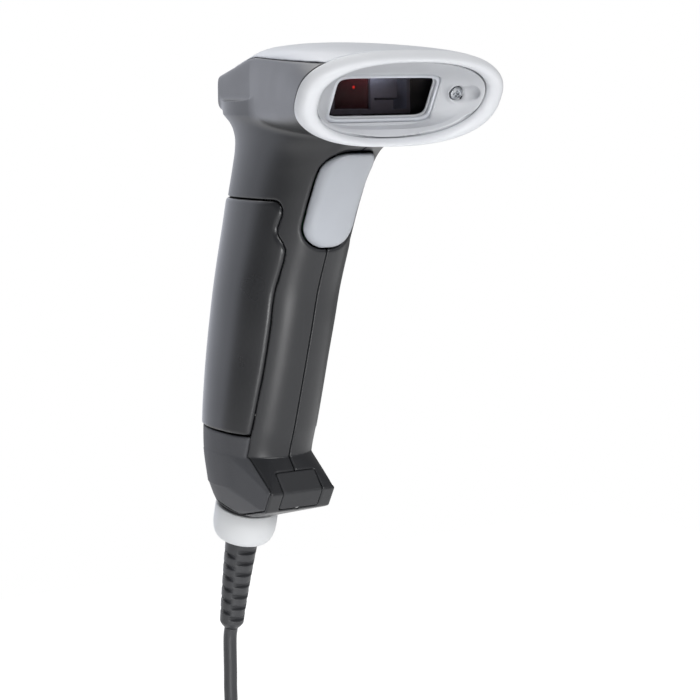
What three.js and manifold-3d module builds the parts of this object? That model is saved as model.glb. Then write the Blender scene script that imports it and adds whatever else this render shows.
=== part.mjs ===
import * as THREE from "three";
import { ConvexGeometry } from "three/addons/geometries/ConvexGeometry.js";
import { mergeVertices } from "three/addons/utils/BufferGeometryUtils.js";
import Module from "manifold-3d";

// Handheld barcode scanner with a laser engine, a hanging lead and a plug.
// Millimetres, +Z up. It scans towards -Y. The origin is on the front of the grip, at mid height.

const wasm = await Module();
wasm.setup();

// Clearances and walls
const gap = 0.3;
const slidingGap = 0.5;
const shellWall = 2;
const overrun = 30;
const partingGap = 0.3;

// Grip: its sections are shares of its length, its depth and its half width
const grip = { length: 100, depth: 50, halfWidth: 17, roundness: 2.4 };
// Height, front, rear and half width of each section
const gripSectionShares = [
  [0.775, -0.82, 0.77, 1.12],
  [0.745, -0.81, 0.695, 1.06],
  [0.7, -0.76, 0.645, 1.02],
  [0.66, -0.635, 0.64, 1.0],
  [0.6, -0.52, 0.665, 0.995],
  [0.5, -0.395, 0.72, 1.0],
  [0.4, -0.298, 0.775, 1.0],
  [0.32, -0.226, 0.823, 1.0],
  [0.2, -0.124, 0.884, 1.012],
  [0.08, -0.052, 0.944, 1.006],
  [-0.04, 0.022, 0.998, 0.994],
  [-0.16, 0.098, 1.034, 0.994],
  [-0.28, 0.176, 1.056, 0.988],
  [-0.395, 0.25, 1.052, 0.965],
];

// Places in the head and round the trigger are measured up from the top of the grip, those in the foot
// and the neck from the front or rear of its lowest section
const sum = (base, offsets) =>
  Object.fromEntries(Object.entries(offsets).map(([key, offset]) => [key, base + offset]));
const gripTop = gripSectionShares[0][0] * grip.length;
const gripEnd = gripSectionShares.at(-1)[0] * grip.length;
const gripEndFront = gripSectionShares.at(-1)[1] * grip.depth;
const gripEndRear = gripSectionShares.at(-1)[2] * grip.depth;

// Head: from the tilted seam behind the bumper to the crease, and from there to the narrow rear end
const nose = { y: -51.7, ...sum(gripTop, { z: 7.15 }), tiltDegrees: 27 };
const seam = { halfWidth: 38.2, up: 15.1, down: 16.6, roundness: 2.5 };
// Rise of the head's top half way from the seam to the crease, over a straight line between them
const headBulge = 0.8;
const crease = {
  y: 4.7,
  ...sum(gripTop, { z: 8.5 }),
  halfWidth: 19,
  up: 14.4,
  down: 11.8,
  roundness: 5,
  edgeUp: 10.4,
};
const headRear = {
  y: 39.5,
  ...sum(gripTop, { z: 7.1 }),
  halfWidth: 10,
  up: 6.7,
  down: 6.3,
  roundness: 5,
  edgeUp: 6,
};
// Top cover: heights of its lower edge at the seam, at the crease and at its rear end
const coverEdge = { ...sum(gripTop, { front: 16.7, crease: 18.9, rear: 13.1 }), rearY: 36 };

// Bumper ring round the mouth, and the mouth that it leaves open
const bumper = { halfWidth: 38.7, up: 15.1, down: 16.9, roundness: 2.55, depth: 5.4 };
const mouth = { halfWidth: 32.3, up: 12.5, down: 14.7, roundness: 2.3 };
// Cross-section of the ring: share of the way from the outer outline to the mouth, and share of its depth
const bumperSectionShares = [
  [0.02, 0],
  [0, 0.24],
  [0.03, 0.52],
  [0.14, 0.78],
  [0.34, 0.95],
  [0.6, 1],
  [0.84, 0.9],
  [1, 0.68],
  [1, 0.335],
  [0.72, 0.335],
  [0.66, 0],
];

// Recess inside the mouth, with the window at its bottom
const recess = { wall: 2.2, rimDepth: 3.2, flangeThickness: 1.2, flangeBack: 0.2, flangeShare: 0.74 };
// Step in the recess's side, where its wall turns inwards behind the rim
const recessStep = { halfWidth: 28.2, up: 11, down: 10.9, roundness: 2.9, centre: -2.1, w: -0.5 };
const opening = { halfWidth: 18.8, halfHeight: 6.6, centre: -5.3, depth: 7.7, roundness: 9 };
const windowFrame = { width: 1.6, thickness: 1.5 };
const pane = { thickness: 1.2, overlap: 1.0 };
const ledgeThickness = 0.9;

// Screw that holds the recess, in a scoop of its own on the right
const noseScrew = { x: 25.4, t: -2, headRadius: 2.15, headHeight: 1.5, shankRadius: 1, shankLength: 9 };
const scoop = { radius: 2.7, length: 7.5, rise: 4.8, floor: -3.1 };
const boss = { radius: 3.6, length: 5.5 };

// Trigger, its pin and its spring
const trigger = {
  halfWidth: 9.4,
  ...sum(gripTop, { top: -11.9, bottom: -43.3 }),
  proud: 1.1,
  thickness: 3.4,
};
const triggerCorner = { top: 8, bottom: 8.2 };
const pivot = {
  y: -17,
  ...sum(gripTop, { z: -17 }),
  pinRadius: 1,
  bossRadius: 2.1,
  bossHalfLength: 5.6,
  pinHalfLength: 11.9,
};
const lug = { inner: 10.2, halfDepth: 3, halfHeight: 3 };
const spring = { wire: 0.7, coilRadius: 2.1, turns: 3, leg: 5, sides: 5, stepsPerTurn: 8 };
const post = { radius: 1.6, ...sum(gripTop, { z: -30 }) };

// Micro switch on a small board behind the trigger
const microSwitch = { halfWidth: 3.1, height: 12.8, depth: 6.4, front: -10.5 };
const plunger = { radius: 0.9, stroke: 1.2, stickOut: 2.2, seat: 1.4 };
const triggerBoard = { halfWidth: 7.4, height: 22, thickness: 1.2 };

// Rear grip cover, proud of the grip, and the lower rear cover below it
const rearCover = {
  ...sum(gripTop, { top: -28.9 }),
  ...sum(gripEnd, { bottom: 8.7 }),
  bottomRise: 2.6,
  proud: 0.45,
  thickness: 1.9,
  topCorner: 5.5,
};
// Places of its front edge behind the front of the grip: height share of the grip's length, and setback
// share of the grip's depth
const rearCoverEdgeShares = [
  [0.44, 0.196],
  [0.4, 0.17],
  [0.36, 0.152],
  [0.32, 0.146],
  [0.28, 0.15],
  [0.2, 0.142],
  [0.08, 0.132],
  [-0.06, 0.13],
  [-0.18, 0.132],
  [-0.308, 0.136],
];
const lowerCover = { thickness: 1.9, edgeInset: 0.9, topSetback: 6.8, ...sum(gripEnd, { shoulder: 1.5 }) };

// Foot that juts forward, and the neck that carries the collar
const foot = {
  ...sum(gripEndFront, { frontY: -8.6, lowerY: -4.8 }),
  ...sum(gripEnd, { ridgeZ: -9.6, lowerZ: -16.4 }),
  halfWidth: 12.9,
  corner: 0.8,
};
const waist = {
  ...sum(gripEnd, { z: -10 }),
  ...sum(gripEndFront, { front: -3 }),
  ...sum(gripEndRear, { rear: -1 }),
  halfWidth: 15.4,
};
const neckEnd = {
  ...sum(gripEndRear, { y: -13.2 }),
  ...sum(gripEnd, { z: -19.1 }),
  radius: 11,
  leanDegrees: 16.5,
  groove: 1.5,
  grooveRadius: 9.9,
};
const pad = {
  halfWidth: 7.8,
  thickness: 2.2,
  ...sum(gripEndFront, { back: -2.5 }),
  ...sum(gripEnd, { backZ: -2.9 }),
};

// Collar, strain relief and lead
const collar = {
  radius: 11.1,
  height: 12.6,
  straight: 6,
  mouthRadius: 6.4,
  spigotDepth: 5,
  spigotRadius: 8.7,
};
const relief = { topRadius: 5.8, endRadius: 4.15, length: 35, endLeanDegrees: 11, chamfer: 2.2 };
const reliefSlots = { count: 13, width: 1.5, depth: 1.5, first: 4 };
const flange = { radius: 7.4, thickness: 2, bore: 8 };
const cord = { diameter: 4.8, sides: 8 };

// Hank: loops in piled layers, drawn in at the waist
const hank = {
  loops: 8,
  layers: 4,
  endHalfWidth: 10,
  waistHalfWidth: 3.6,
  halfHeight: 38,
  spacing: 6,
  drop: 214,
  runShare: 0.55,
  climbShare: 0.25,
};
const hankSteps = { perLoop: 24, sides: 6, tail: 2, measured: 4 };
const hankTailLength = 34;
const tie = { thickness: 1.2, height: 9, roundness: 6 };
// Route of the lead between the strain relief and the hank: shares of the way across and of the way down
const leadRouteShares = [
  [0, 0.16],
  [0, 0.27],
  [0.04, 0.38],
  [0.3, 0.48],
  [0.7, 0.58],
  [0.96, 0.68],
  [1, 0.78],
  [1, 0.89],
];

// Plug at the end of the lead
const plugGrip = {
  width: 15.4,
  thickness: 7.8,
  length: 24,
  neckRadius: 3.8,
  neckLength: 9,
  roundness: 5,
  pocket: 4,
};
const plugShell = { width: 12, thickness: 4.5, length: 15.5, wall: 0.35 };
const plugTongue = { width: 10.6, thickness: 1.9, recess: 1 };

// Laser engine behind the window
const engine = {
  left: -14,
  right: 17,
  front: -34.6,
  back: -15.5,
  ...sum(gripTop, { floor: 0.5, top: 14.1 }),
  wall: 1.4,
};
const divider = { x: 1.4, back: -24 };
const filter = { thickness: 1.5, inset: 0.9, topInset: 1.2 };
const detector = { halfWidth: 4.2, halfHeight: 3.4, depth: 3.6, x: -6, ...sum(gripTop, { z: 7.1 }) };
const drive = { right: 12.6, front: -33.4, back: -30.6, clearance: 0.4 };
const driveStep = { right: 10.6, front: -34.2, height: 3.2 };
const mirror = { x: 8, y: -25, width: 10.4, height: 7.4, thickness: 1, shaftRadius: 0.8, turnDegrees: 35 };
const rotor = { width: 6, height: 3.2, depth: 2.2 };
const laser = { x: 8, ...sum(gripTop, { z: 7.7 }), radius: 3.1, front: -20.6, length: 4.8 };

// Boards
const mainBoard = { halfWidth: 11.4, front: -13.4, back: 21, ...sum(gripTop, { z: 2.9 }), thickness: 1.6 };
const buzzer = { radius: 4.6, height: 3.4, y: 14 };
const lowerBoard = {
  halfWidth: 10,
  ...sum(gripEnd, { bottom: 25.5 }),
  ...sum(gripTop, { top: -33.5 }),
  y: 17,
  thickness: 1.6,
};
const header = { halfWidth: 5.5, height: 6, depth: 4.6, ...sum(lowerBoard.bottom, { bottom: 1.4 }) };
const ribbon = { halfWidth: 6, thickness: 0.6, y: 8 };
const rail = { width: 3.2, depth: 4 };

// Screws that join the housing halves, under the rear cover
const shellScrew = {
  headRadius: 2.7,
  headHeight: 1.6,
  shankRadius: 1.2,
  postRadius: 3.2,
  headSeat: 0.4,
  endInset: 3.6,
};
// Places of the screws behind the origin and above it: shares of the grip's depth and of its length
const shellScrewShares = [
  [0.56, 0.3],
  [0.76, -0.22],
];
const shellScrewPlaces = shellScrewShares.map(([back, height]) => ({
  y: back * grip.depth,
  z: height * grip.length,
  halfLength: grip.halfWidth - shellScrew.endInset,
}));

// Numbers of points and sides
const ringPoints = 32;
const headRings = 5;
const reliefRings = 6;
const roundSides = 18;
const smallSides = 12;
const cornerSteps = 4;

// Vectors of the nose frame: t runs up the tilted mouth, and out points where the scanner looks
const tilt = THREE.MathUtils.degToRad(nose.tiltDegrees);
const alongX = new THREE.Vector3(1, 0, 0);
const alongT = new THREE.Vector3(0, -Math.sin(tilt), Math.cos(tilt));
const outward = new THREE.Vector3(0, -Math.cos(tilt), -Math.sin(tilt));
const noseCentre = new THREE.Vector3(0, nose.y, nose.z);

const lean = THREE.MathUtils.degToRad(neckEnd.leanDegrees);
const neckDown = new THREE.Vector3(0, Math.sin(lean), -Math.cos(lean));
const neckBack = new THREE.Vector3(0, Math.cos(lean), Math.sin(lean));
const neckCentre = new THREE.Vector3(0, neckEnd.y, neckEnd.z);

function nosePoint(x, t, w) {
  return noseCentre
    .clone()
    .addScaledVector(alongX, x)
    .addScaledVector(alongT, t)
    .addScaledVector(outward, w);
}

function neckPoint(distance) {
  return neckCentre.clone().addScaledVector(neckDown, distance);
}

// Solids and geometries
function toSolid(geometry) {
  const bare = geometry.clone();
  bare.deleteAttribute("normal");
  if (bare.getAttribute("uv")) bare.deleteAttribute("uv");
  const merged = mergeVertices(bare, 1e-4);
  const mesh = new wasm.Mesh({
    numProp: 3,
    vertProperties: merged.attributes.position.array,
    triVerts: new Uint32Array(merged.index.array),
  });
  return new wasm.Manifold(mesh);
}

function toGeometry(solid) {
  const mesh = solid.getMesh();
  const step = mesh.numProp;
  const positions = new Float32Array(mesh.numVert * 3);
  for (let i = 0; i < mesh.numVert; i++) {
    positions.set(mesh.vertProperties.subarray(i * step, i * step + 3), i * 3);
  }
  const geometry = new THREE.BufferGeometry();
  geometry.setAttribute("position", new THREE.BufferAttribute(positions, 3));
  geometry.setIndex(new THREE.BufferAttribute(new Uint32Array(mesh.triVerts), 1));
  geometry.computeVertexNormals();
  return geometry;
}

// Closed surface over rings of points. An open run of rings gets an end cap at each end.
function ringSurface(rings, loop = false) {
  const count = rings[0].length;
  const points = rings.flat();
  const faces = [];
  const spans = loop ? rings.length : rings.length - 1;
  for (let i = 0; i < spans; i++) {
    const near = i * count;
    const far = ((i + 1) % rings.length) * count;
    for (let j = 0; j < count; j++) {
      const next = (j + 1) % count;
      faces.push(near + j, near + next, far + next, near + j, far + next, far + j);
    }
  }
  if (!loop) {
    const lastRing = (rings.length - 1) * count;
    for (const [ring, first, reversed] of [[rings[0], 0, true], [rings.at(-1), lastRing, false]]) {
      const middle = new THREE.Vector3();
      ring.forEach((p) => middle.addScaledVector(p, 1 / count));
      points.push(middle);
      for (let j = 0; j < count; j++) {
        const next = (j + 1) % count;
        if (reversed) faces.push(points.length - 1, first + next, first + j);
        else faces.push(points.length - 1, first + j, first + next);
      }
    }
  }
  const geometry = new THREE.BufferGeometry().setFromPoints(points);
  geometry.setIndex(faces);
  geometry.computeVertexNormals();
  return geometry;
}

// Solid over rings, whichever way round they were given
function ringSolid(rings, loop = false) {
  const solid = toSolid(ringSurface(rings, loop));
  if (solid.volume() > 0) return solid;
  return toSolid(ringSurface(rings.map((ring) => ring.slice().reverse()), loop));
}

function box(x0, x1, y0, y1, z0, z1) {
  const geometry = new THREE.BoxGeometry(x1 - x0, y1 - y0, z1 - z0);
  geometry.translate((x0 + x1) / 2, (y0 + y1) / 2, (z0 + z1) / 2);
  return toSolid(geometry);
}

// Round rod between two points, with a radius at each end
function rod(from, to, radius, endRadius = radius, sides = smallSides) {
  const along = to.clone().sub(from);
  const geometry = new THREE.CylinderGeometry(endRadius, radius, along.length(), sides);
  const up = new THREE.Vector3(0, 1, 0);
  geometry.applyQuaternion(new THREE.Quaternion().setFromUnitVectors(up, along.clone().normalize()));
  geometry.translate(...from.clone().add(to).divideScalar(2).toArray());
  return toSolid(geometry);
}

function shapeOf(points) {
  return new THREE.Shape(points.map(([a, b]) => new THREE.Vector2(a, b)));
}

// Prism of an outline in Y and Z, from x0 to x1
function prismX(points, x0, x1) {
  const geometry = new THREE.ExtrudeGeometry(shapeOf(points), { depth: x1 - x0, bevelEnabled: false });
  const basis = new THREE.Matrix4().makeBasis(
    new THREE.Vector3(0, 1, 0),
    new THREE.Vector3(0, 0, 1),
    new THREE.Vector3(1, 0, 0),
  );
  geometry.applyMatrix4(basis);
  geometry.translate(x0, 0, 0);
  return toSolid(geometry);
}

// Rounded outline in X and Z, cut through along Y from y0 forward to y1
function prismY(shape, y0, y1) {
  const geometry = new THREE.ExtrudeGeometry(shape, {
    depth: y0 - y1,
    bevelEnabled: false,
    curveSegments: cornerSteps,
  });
  const basis = new THREE.Matrix4().makeBasis(
    new THREE.Vector3(1, 0, 0),
    new THREE.Vector3(0, 0, 1),
    new THREE.Vector3(0, -1, 0),
  );
  geometry.applyMatrix4(basis);
  geometry.translate(0, y0, 0);
  return toSolid(geometry);
}

// Round piece turned about a line, from radius and distance pairs that start and end on the axis
// or close on themselves
function turned(profile, start, direction, sides = roundSides) {
  const geometry = new THREE.LatheGeometry(profile.map(([r, d]) => new THREE.Vector2(r, d)), sides);
  const turn = new THREE.Quaternion().setFromUnitVectors(new THREE.Vector3(0, 1, 0), direction);
  geometry.applyQuaternion(turn);
  geometry.translate(...start.toArray());
  const solid = toSolid(geometry);
  if (solid.volume() > 0) return solid;
  return turned(profile.slice().reverse(), start, direction, sides);
}

// Unit outline of a rounded section: across and up, each from -1 to 1
function roundUnit(roundness, count = ringPoints) {
  const points = [];
  for (let i = 0; i < count; i++) {
    const angle = (2 * Math.PI * i) / count;
    const c = Math.cos(angle);
    const s = Math.sin(angle);
    const power = 2 / roundness;
    points.push([Math.sign(c) * Math.abs(c) ** power, Math.sign(s) * Math.abs(s) ** power]);
  }
  return points;
}

// Grip, grown outwards by a distance, or drawn in where it is negative
function gripRing(z, front, rear, halfWidth) {
  const middle = (front + rear) / 2;
  const half = (rear - front) / 2;
  return roundUnit(grip.roundness).map(([a, b]) => new THREE.Vector3(halfWidth * a, middle + half * b, z));
}

function gripSolid(grow) {
  const rings = gripSectionShares.map(([height, front, rear, width]) =>
    gripRing(
      height * grip.length,
      front * grip.depth - grow,
      rear * grip.depth + grow,
      width * grip.halfWidth + grow,
    ),
  );
  return ringSolid(rings);
}

function gripAt(z) {
  const rows = gripSectionShares.map(([height, ...shares]) => [height * grip.length, ...shares]);
  const upper = rows.findLastIndex((row) => row[0] >= z);
  const a = rows[Math.max(upper, 0)];
  const b = rows[Math.min(upper + 1, rows.length - 1)];
  const share = a === b ? 0 : (a[0] - z) / (a[0] - b[0]);
  const mix = (i) => a[i] + (b[i] - a[i]) * share;
  return { front: mix(1) * grip.depth, rear: mix(2) * grip.depth, halfWidth: mix(3) * grip.halfWidth };
}

// Head
function headRing({ y, z, halfWidth, up, down, roundness, edgeUp }, slope, grow) {
  return roundUnit(roundness).map(([a, b]) => {
    // The crown falls from the middle to the top edge of the side wall
    const crown = edgeUp + (up - edgeUp) * (1 - a ** 2) + grow;
    const height = b > 0 ? Math.min(b * (up + grow), crown) : b * (down + grow);
    return new THREE.Vector3(a * (halfWidth + grow), y - slope * height, z + height);
  });
}

function headSolid(grow) {
  const up = seam.up * Math.cos(tilt);
  const down = seam.down * Math.cos(tilt);
  const slope = Math.tan(tilt);
  const front = { ...nose, ...seam, up, down, edgeUp: up };
  const rings = [];
  const ahead = overrun / 5;
  const widening = (seam.halfWidth - crease.halfWidth) / (crease.y - nose.y);
  const wider = { ...front, y: nose.y - ahead, halfWidth: seam.halfWidth + widening * ahead };
  rings.push(headRing(wider, slope, grow));
  for (let i = 0; i <= headRings; i++) {
    const share = i / headRings;
    const mixed = {};
    for (const key of Object.keys(crease)) mixed[key] = front[key] + (crease[key] - front[key]) * share;
    mixed.up += headBulge * 4 * share * (1 - share);
    rings.push(headRing(mixed, slope * (1 - share), grow));
  }
  rings.push(headRing({ ...headRear, y: headRear.y + grow }, 0, grow));
  return ringSolid(rings);
}

// Everything in front of a plane of the nose frame
function aheadOf(w) {
  const wide = seam.halfWidth + overrun;
  const corners = [];
  for (const x of [-wide, wide]) {
    for (const t of [-wide, wide]) {
      for (const far of [w, w + wide]) corners.push(nosePoint(x, t, far));
    }
  }
  return toSolid(new ConvexGeometry(corners));
}

// Region above the lower edge of the top cover, raised by a distance
function aboveEdge(raise, rearExtra) {
  const high = crease.z + crease.up + overrun;
  const frontSlope = (coverEdge.crease - coverEdge.front) / (crease.y - nose.y);
  const frontY = nose.y - overrun;
  const rearSlope = (coverEdge.rear - coverEdge.crease) / (headRear.y - crease.y);
  const rearY = coverEdge.rearY + rearExtra;
  const rearZ = coverEdge.crease + rearSlope * (rearY - crease.y);
  const wide = seam.halfWidth + overrun;
  return prismX(
    [
      [frontY, coverEdge.front - frontSlope * overrun + raise],
      [crease.y, coverEdge.crease + raise],
      [rearY, rearZ + raise],
      [rearY, high],
      [frontY, high],
    ],
    -wide,
    wide,
  );
}

// Lower body: from the last grip section to the foot and the neck, drawn in at its sides and rear
function lowerSolid(inset) {
  const [height, front, rear, width] = gripSectionShares.at(-1);
  const points = gripRing(
    height * grip.length, front * grip.depth, rear * grip.depth - inset, width * grip.halfWidth - inset,
  );
  points.push(...gripRing(waist.z, waist.front, waist.rear - inset, waist.halfWidth - inset));
  const side = foot.halfWidth - inset;
  for (const x of [-side, side]) {
    points.push(new THREE.Vector3(x, foot.frontY, foot.ridgeZ));
    points.push(new THREE.Vector3(x, foot.lowerY, foot.lowerZ));
  }
  const radius = neckEnd.radius - inset;
  for (const [a, b] of roundUnit(2)) {
    const across = neckCentre.clone().addScaledVector(alongX, radius * a);
    points.push(across.addScaledVector(neckBack, radius * b));
  }
  return toSolid(new ConvexGeometry(points));
}

// Outline in Y and Z of the region that the rear grip cover fills, grown by a distance
function rearCoverOutline(grow) {
  const front = rearCoverEdgeShares.map(([height, setback]) => {
    const z = height * grip.length;
    return [gripAt(z).front + setback * grip.depth - grow, z];
  });
  const topFront = front[0];
  const far = grip.depth * 1.5;
  const corner = rearCover.topCorner;
  return [
    [far, rearCover.bottom + rearCover.bottomRise - grow],
    [far, rearCover.top + grow],
    [topFront[0] + corner, rearCover.top + grow],
    [topFront[0] + corner * 0.3, rearCover.top - corner * 0.2 + grow],
    ...front.slice(0, -1),
    [front.at(-1)[0], rearCover.bottom - grow],
  ];
}

// Outline in Y and Z of the lower rear cover
function lowerCoverOutline(grow) {
  const top = rearCover.bottom - gap;
  const edge = lowerCover.edgeInset;
  const side = gripAt(top).front + lowerCover.topSetback;
  const shoulder = gripAt(lowerCover.shoulder).front + lowerCover.topSetback;
  const ring = neckPoint(-neckEnd.groove - edge);
  const rise = neckBack.clone().multiplyScalar(overrun);
  return [
    [side - grow, top + grow],
    [shoulder - grow, lowerCover.shoulder],
    [foot.frontY + edge * 1.5 - grow, foot.ridgeZ + edge / 2],
    [foot.lowerY + edge - grow, foot.lowerZ + edge],
    [ring.y - neckEnd.radius * neckBack.y, ring.z - neckEnd.radius * neckBack.z - grow],
    [ring.y + rise.y, ring.z + rise.z - grow],
    [ring.y + rise.y, top + rearCover.bottomRise + grow],
  ];
}

function rectangleShape(halfWidth, bottom, top, bottomCorner, topCorner) {
  const shape = new THREE.Shape();
  shape.moveTo(-halfWidth + bottomCorner, bottom);
  shape.lineTo(halfWidth - bottomCorner, bottom);
  shape.absarc(halfWidth - bottomCorner, bottom + bottomCorner, bottomCorner, -Math.PI / 2, 0);
  shape.lineTo(halfWidth, top - topCorner);
  shape.absarc(halfWidth - topCorner, top - topCorner, topCorner, 0, Math.PI / 2);
  shape.lineTo(-halfWidth + topCorner, top);
  shape.absarc(-halfWidth + topCorner, top - topCorner, topCorner, Math.PI / 2, Math.PI);
  shape.lineTo(-halfWidth, bottom + bottomCorner);
  shape.absarc(-halfWidth + bottomCorner, bottom + bottomCorner, bottomCorner, Math.PI, 1.5 * Math.PI);
  return shape;
}

function triggerOutline(grow) {
  return prismY(
    rectangleShape(
      trigger.halfWidth + grow,
      trigger.bottom - grow,
      trigger.top + grow,
      triggerCorner.bottom + grow,
      triggerCorner.top + grow,
    ),
    pivot.y + overrun / 2,
    pivot.y - overrun,
  );
}

const group = new THREE.Group();
group.name = "barcode_scanner";

const looks = {
  darkPlastic: { color: 0x4b4c50, roughness: 0.5, metalness: 0 },
  softPlastic: { color: 0x3d3e42, roughness: 0.6, metalness: 0 },
  texturedPlastic: { color: 0x55565a, roughness: 0.8, metalness: 0 },
  palePlastic: { color: 0xd9dce2, roughness: 0.45, metalness: 0 },
  whiteRubber: { color: 0xe6e8eb, roughness: 0.55, metalness: 0 },
  greyPlastic: { color: 0xc3c5c9, roughness: 0.5, metalness: 0 },
  triggerPlastic: { color: 0xb0b4bb, roughness: 0.45, metalness: 0 },
  blackRubber: { color: 0x2d2e31, roughness: 0.7, metalness: 0 },
  cordRubber: { color: 0x3a3b3e, roughness: 0.65, metalness: 0 },
  windowPlastic: { color: 0x35181b, roughness: 0.05, metalness: 0 },
  redPlastic: { color: 0x7d1517, roughness: 0.1, metalness: 0 },
  casting: { color: 0x9aa0a8, roughness: 0.45, metalness: 0.6 },
  steel: { color: 0xb9bcc0, roughness: 0.3, metalness: 1 },
  brass: { color: 0xb08d4c, roughness: 0.35, metalness: 1 },
  mirrorGlass: { color: 0xe6eaee, roughness: 0.03, metalness: 1 },
  boardGreen: { color: 0x1f5b3a, roughness: 0.5, metalness: 0 },
  blackPlastic: { color: 0x1d1e20, roughness: 0.5, metalness: 0 },
  whitePlastic: { color: 0xe4e2da, roughness: 0.5, metalness: 0 },
  ribbonWhite: { color: 0xd8d6cf, roughness: 0.4, metalness: 0 },
};
for (const [name, look] of Object.entries(looks)) {
  looks[name] = new THREE.MeshStandardMaterial({ name, ...look });
}

function addNode(name, solid, material) {
  const mesh = new THREE.Mesh(solid.isBufferGeometry ? solid : toGeometry(solid), material.clone());
  mesh.name = name;
  group.add(mesh);
  return mesh;
}

// Nose: bumper ring, recess, window frame, pane and screw
function noseRing({ halfWidth, up, down, roundness, centre = 0, w }) {
  return roundUnit(roundness).map(([a, b]) => {
    const height = b > 0 ? b * up : b * down;
    return nosePoint(a * halfWidth, centre + height, w);
  });
}

function mixOutline(share) {
  const mix = (key) => bumper[key] + (mouth[key] - bumper[key]) * share;
  return { halfWidth: mix("halfWidth"), up: mix("up"), down: mix("down"), roundness: mix("roundness") };
}

function addBumper() {
  const rings = bumperSectionShares.map(([share, depth]) =>
    noseRing({ ...mixOutline(share), w: depth * bumper.depth }),
  );
  addNode("bumper_ring", ringSolid(rings, true), looks.whiteRubber);
}

function drawnIn(outline, inset) {
  return {
    ...outline,
    halfWidth: outline.halfWidth - inset,
    up: outline.up - inset,
    down: outline.down - inset,
  };
}

function openingRing(grow, w) {
  return noseRing({
    halfWidth: opening.halfWidth + grow,
    up: opening.halfHeight + grow,
    down: opening.halfHeight + grow,
    roundness: opening.roundness,
    centre: opening.centre,
    w,
  });
}

function noseScrewAxis(w) {
  return nosePoint(noseScrew.x, noseScrew.t, w);
}

function addRecess() {
  const rim = drawnIn(mouth, gap * 1.5);
  const seat = windowFrame.width + gap;
  const flangeOutline = mixOutline(recess.flangeShare);
  const floorDepth = opening.depth + ledgeThickness;
  const frameTop = opening.depth - windowFrame.thickness;
  const bottomWidth = opening.halfWidth + seat + recess.wall;
  const bottom = {
    halfWidth: bottomWidth,
    up: opening.halfHeight + seat + recess.wall,
    down: opening.halfHeight + seat + recess.wall,
    roundness: opening.roundness / 2,
    centre: opening.centre,
  };
  const inner = drawnIn(bottom, recess.wall * 0.7);
  const flangeFront = recess.flangeBack + recess.flangeThickness;
  const rings = [
    noseRing({ ...rim, w: recess.rimDepth }),
    noseRing(recessStep),
    noseRing({ ...inner, w: -frameTop + gap }),
    openingRing(seat, -frameTop - gap),
    openingRing(seat, -opening.depth),
    openingRing(-gap, -opening.depth),
    openingRing(-gap, -floorDepth),
    openingRing(seat + recess.wall / 2, -floorDepth),
    noseRing({ ...bottom, w: -floorDepth + recess.wall }),
    noseRing({ ...drawnIn(mouth, gap * 3), down: mouth.down - gap * 1.5, w: recess.flangeBack }),
    noseRing({ ...flangeOutline, w: recess.flangeBack }),
    noseRing({ ...flangeOutline, w: flangeFront }),
    noseRing({ ...rim, w: flangeFront }),
  ];
  let solid = ringSolid(rings, true);
  const before = noseScrewAxis(recess.rimDepth + overrun);
  const seatBack = scoop.floor - noseScrew.headHeight;
  const bossEnd = noseScrewAxis(scoop.floor - boss.length);
  const tube = rod(noseScrewAxis(scoop.floor + recess.wall), bossEnd, boss.radius);
  const trim = rod(before, noseScrewAxis(scoop.floor), scoop.radius);
  const seatHole = rod(before, noseScrewAxis(seatBack - gap), noseScrew.headRadius + gap);
  const shankHole = rod(before, noseScrewAxis(-overrun), noseScrew.shankRadius + gap);
  const channel = rod(
    noseScrewAxis(scoop.floor + scoop.radius),
    nosePoint(noseScrew.x + scoop.length, noseScrew.t, scoop.floor + scoop.radius + scoop.rise),
    scoop.radius,
    scoop.radius * 0.8,
  );
  solid = solid.add(tube).subtract(trim).subtract(seatHole).subtract(shankHole).subtract(channel);
  const paneRoom = ringSolid([
    openingRing(pane.overlap + gap, -floorDepth - gap / 2),
    openingRing(pane.overlap + gap, -floorDepth - overrun / 2),
  ]);
  solid = solid.subtract(paneRoom);
  addNode("nose_recess", solid, looks.greyPlastic);

  const frame = ringSolid(
    [
      openingRing(windowFrame.width, -opening.depth + gap),
      openingRing(windowFrame.width, -frameTop),
      openingRing(windowFrame.width * 0.6, -frameTop + windowFrame.thickness * 0.25),
      openingRing(0, -frameTop),
      openingRing(0, -opening.depth + gap),
    ],
    true,
  );
  addNode("window_frame", frame, looks.palePlastic);

  const paneFront = -floorDepth - gap;
  const glass = ringSolid([
    openingRing(pane.overlap, paneFront),
    openingRing(pane.overlap, paneFront - pane.thickness),
  ]);
  addNode("scan_window", glass, looks.windowPlastic);
}

// Screw with a cross in its head
function addNoseScrew() {
  const { headRadius, headHeight, shankRadius, shankLength } = noseScrew;
  const seat = scoop.floor - headHeight;
  let screw = rod(noseScrewAxis(seat), noseScrewAxis(scoop.floor), headRadius, headRadius * 0.86);
  screw = screw.add(rod(noseScrewAxis(seat + gap), noseScrewAxis(seat - shankLength), shankRadius));
  const narrow = headRadius * 0.28;
  const reach = headRadius * 0.7;
  for (const [across, up] of [[narrow, reach], [reach, narrow]]) {
    const corners = [];
    for (const x of [-across, across]) {
      for (const t of [-up, up]) {
        for (const w of [scoop.floor - headHeight / 2, scoop.floor + headHeight]) {
          corners.push(nosePoint(noseScrew.x + x, noseScrew.t + t, w));
        }
      }
    }
    screw = screw.subtract(toSolid(new ConvexGeometry(corners)));
  }
  addNode("nose_screw", screw, looks.steel);
}

// Rod along the trigger's pin
function pinRod(halfLength, radius) {
  const end = (x) => new THREE.Vector3(x, pivot.y, pivot.z);
  return rod(end(-halfLength), end(halfLength), radius);
}

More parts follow.
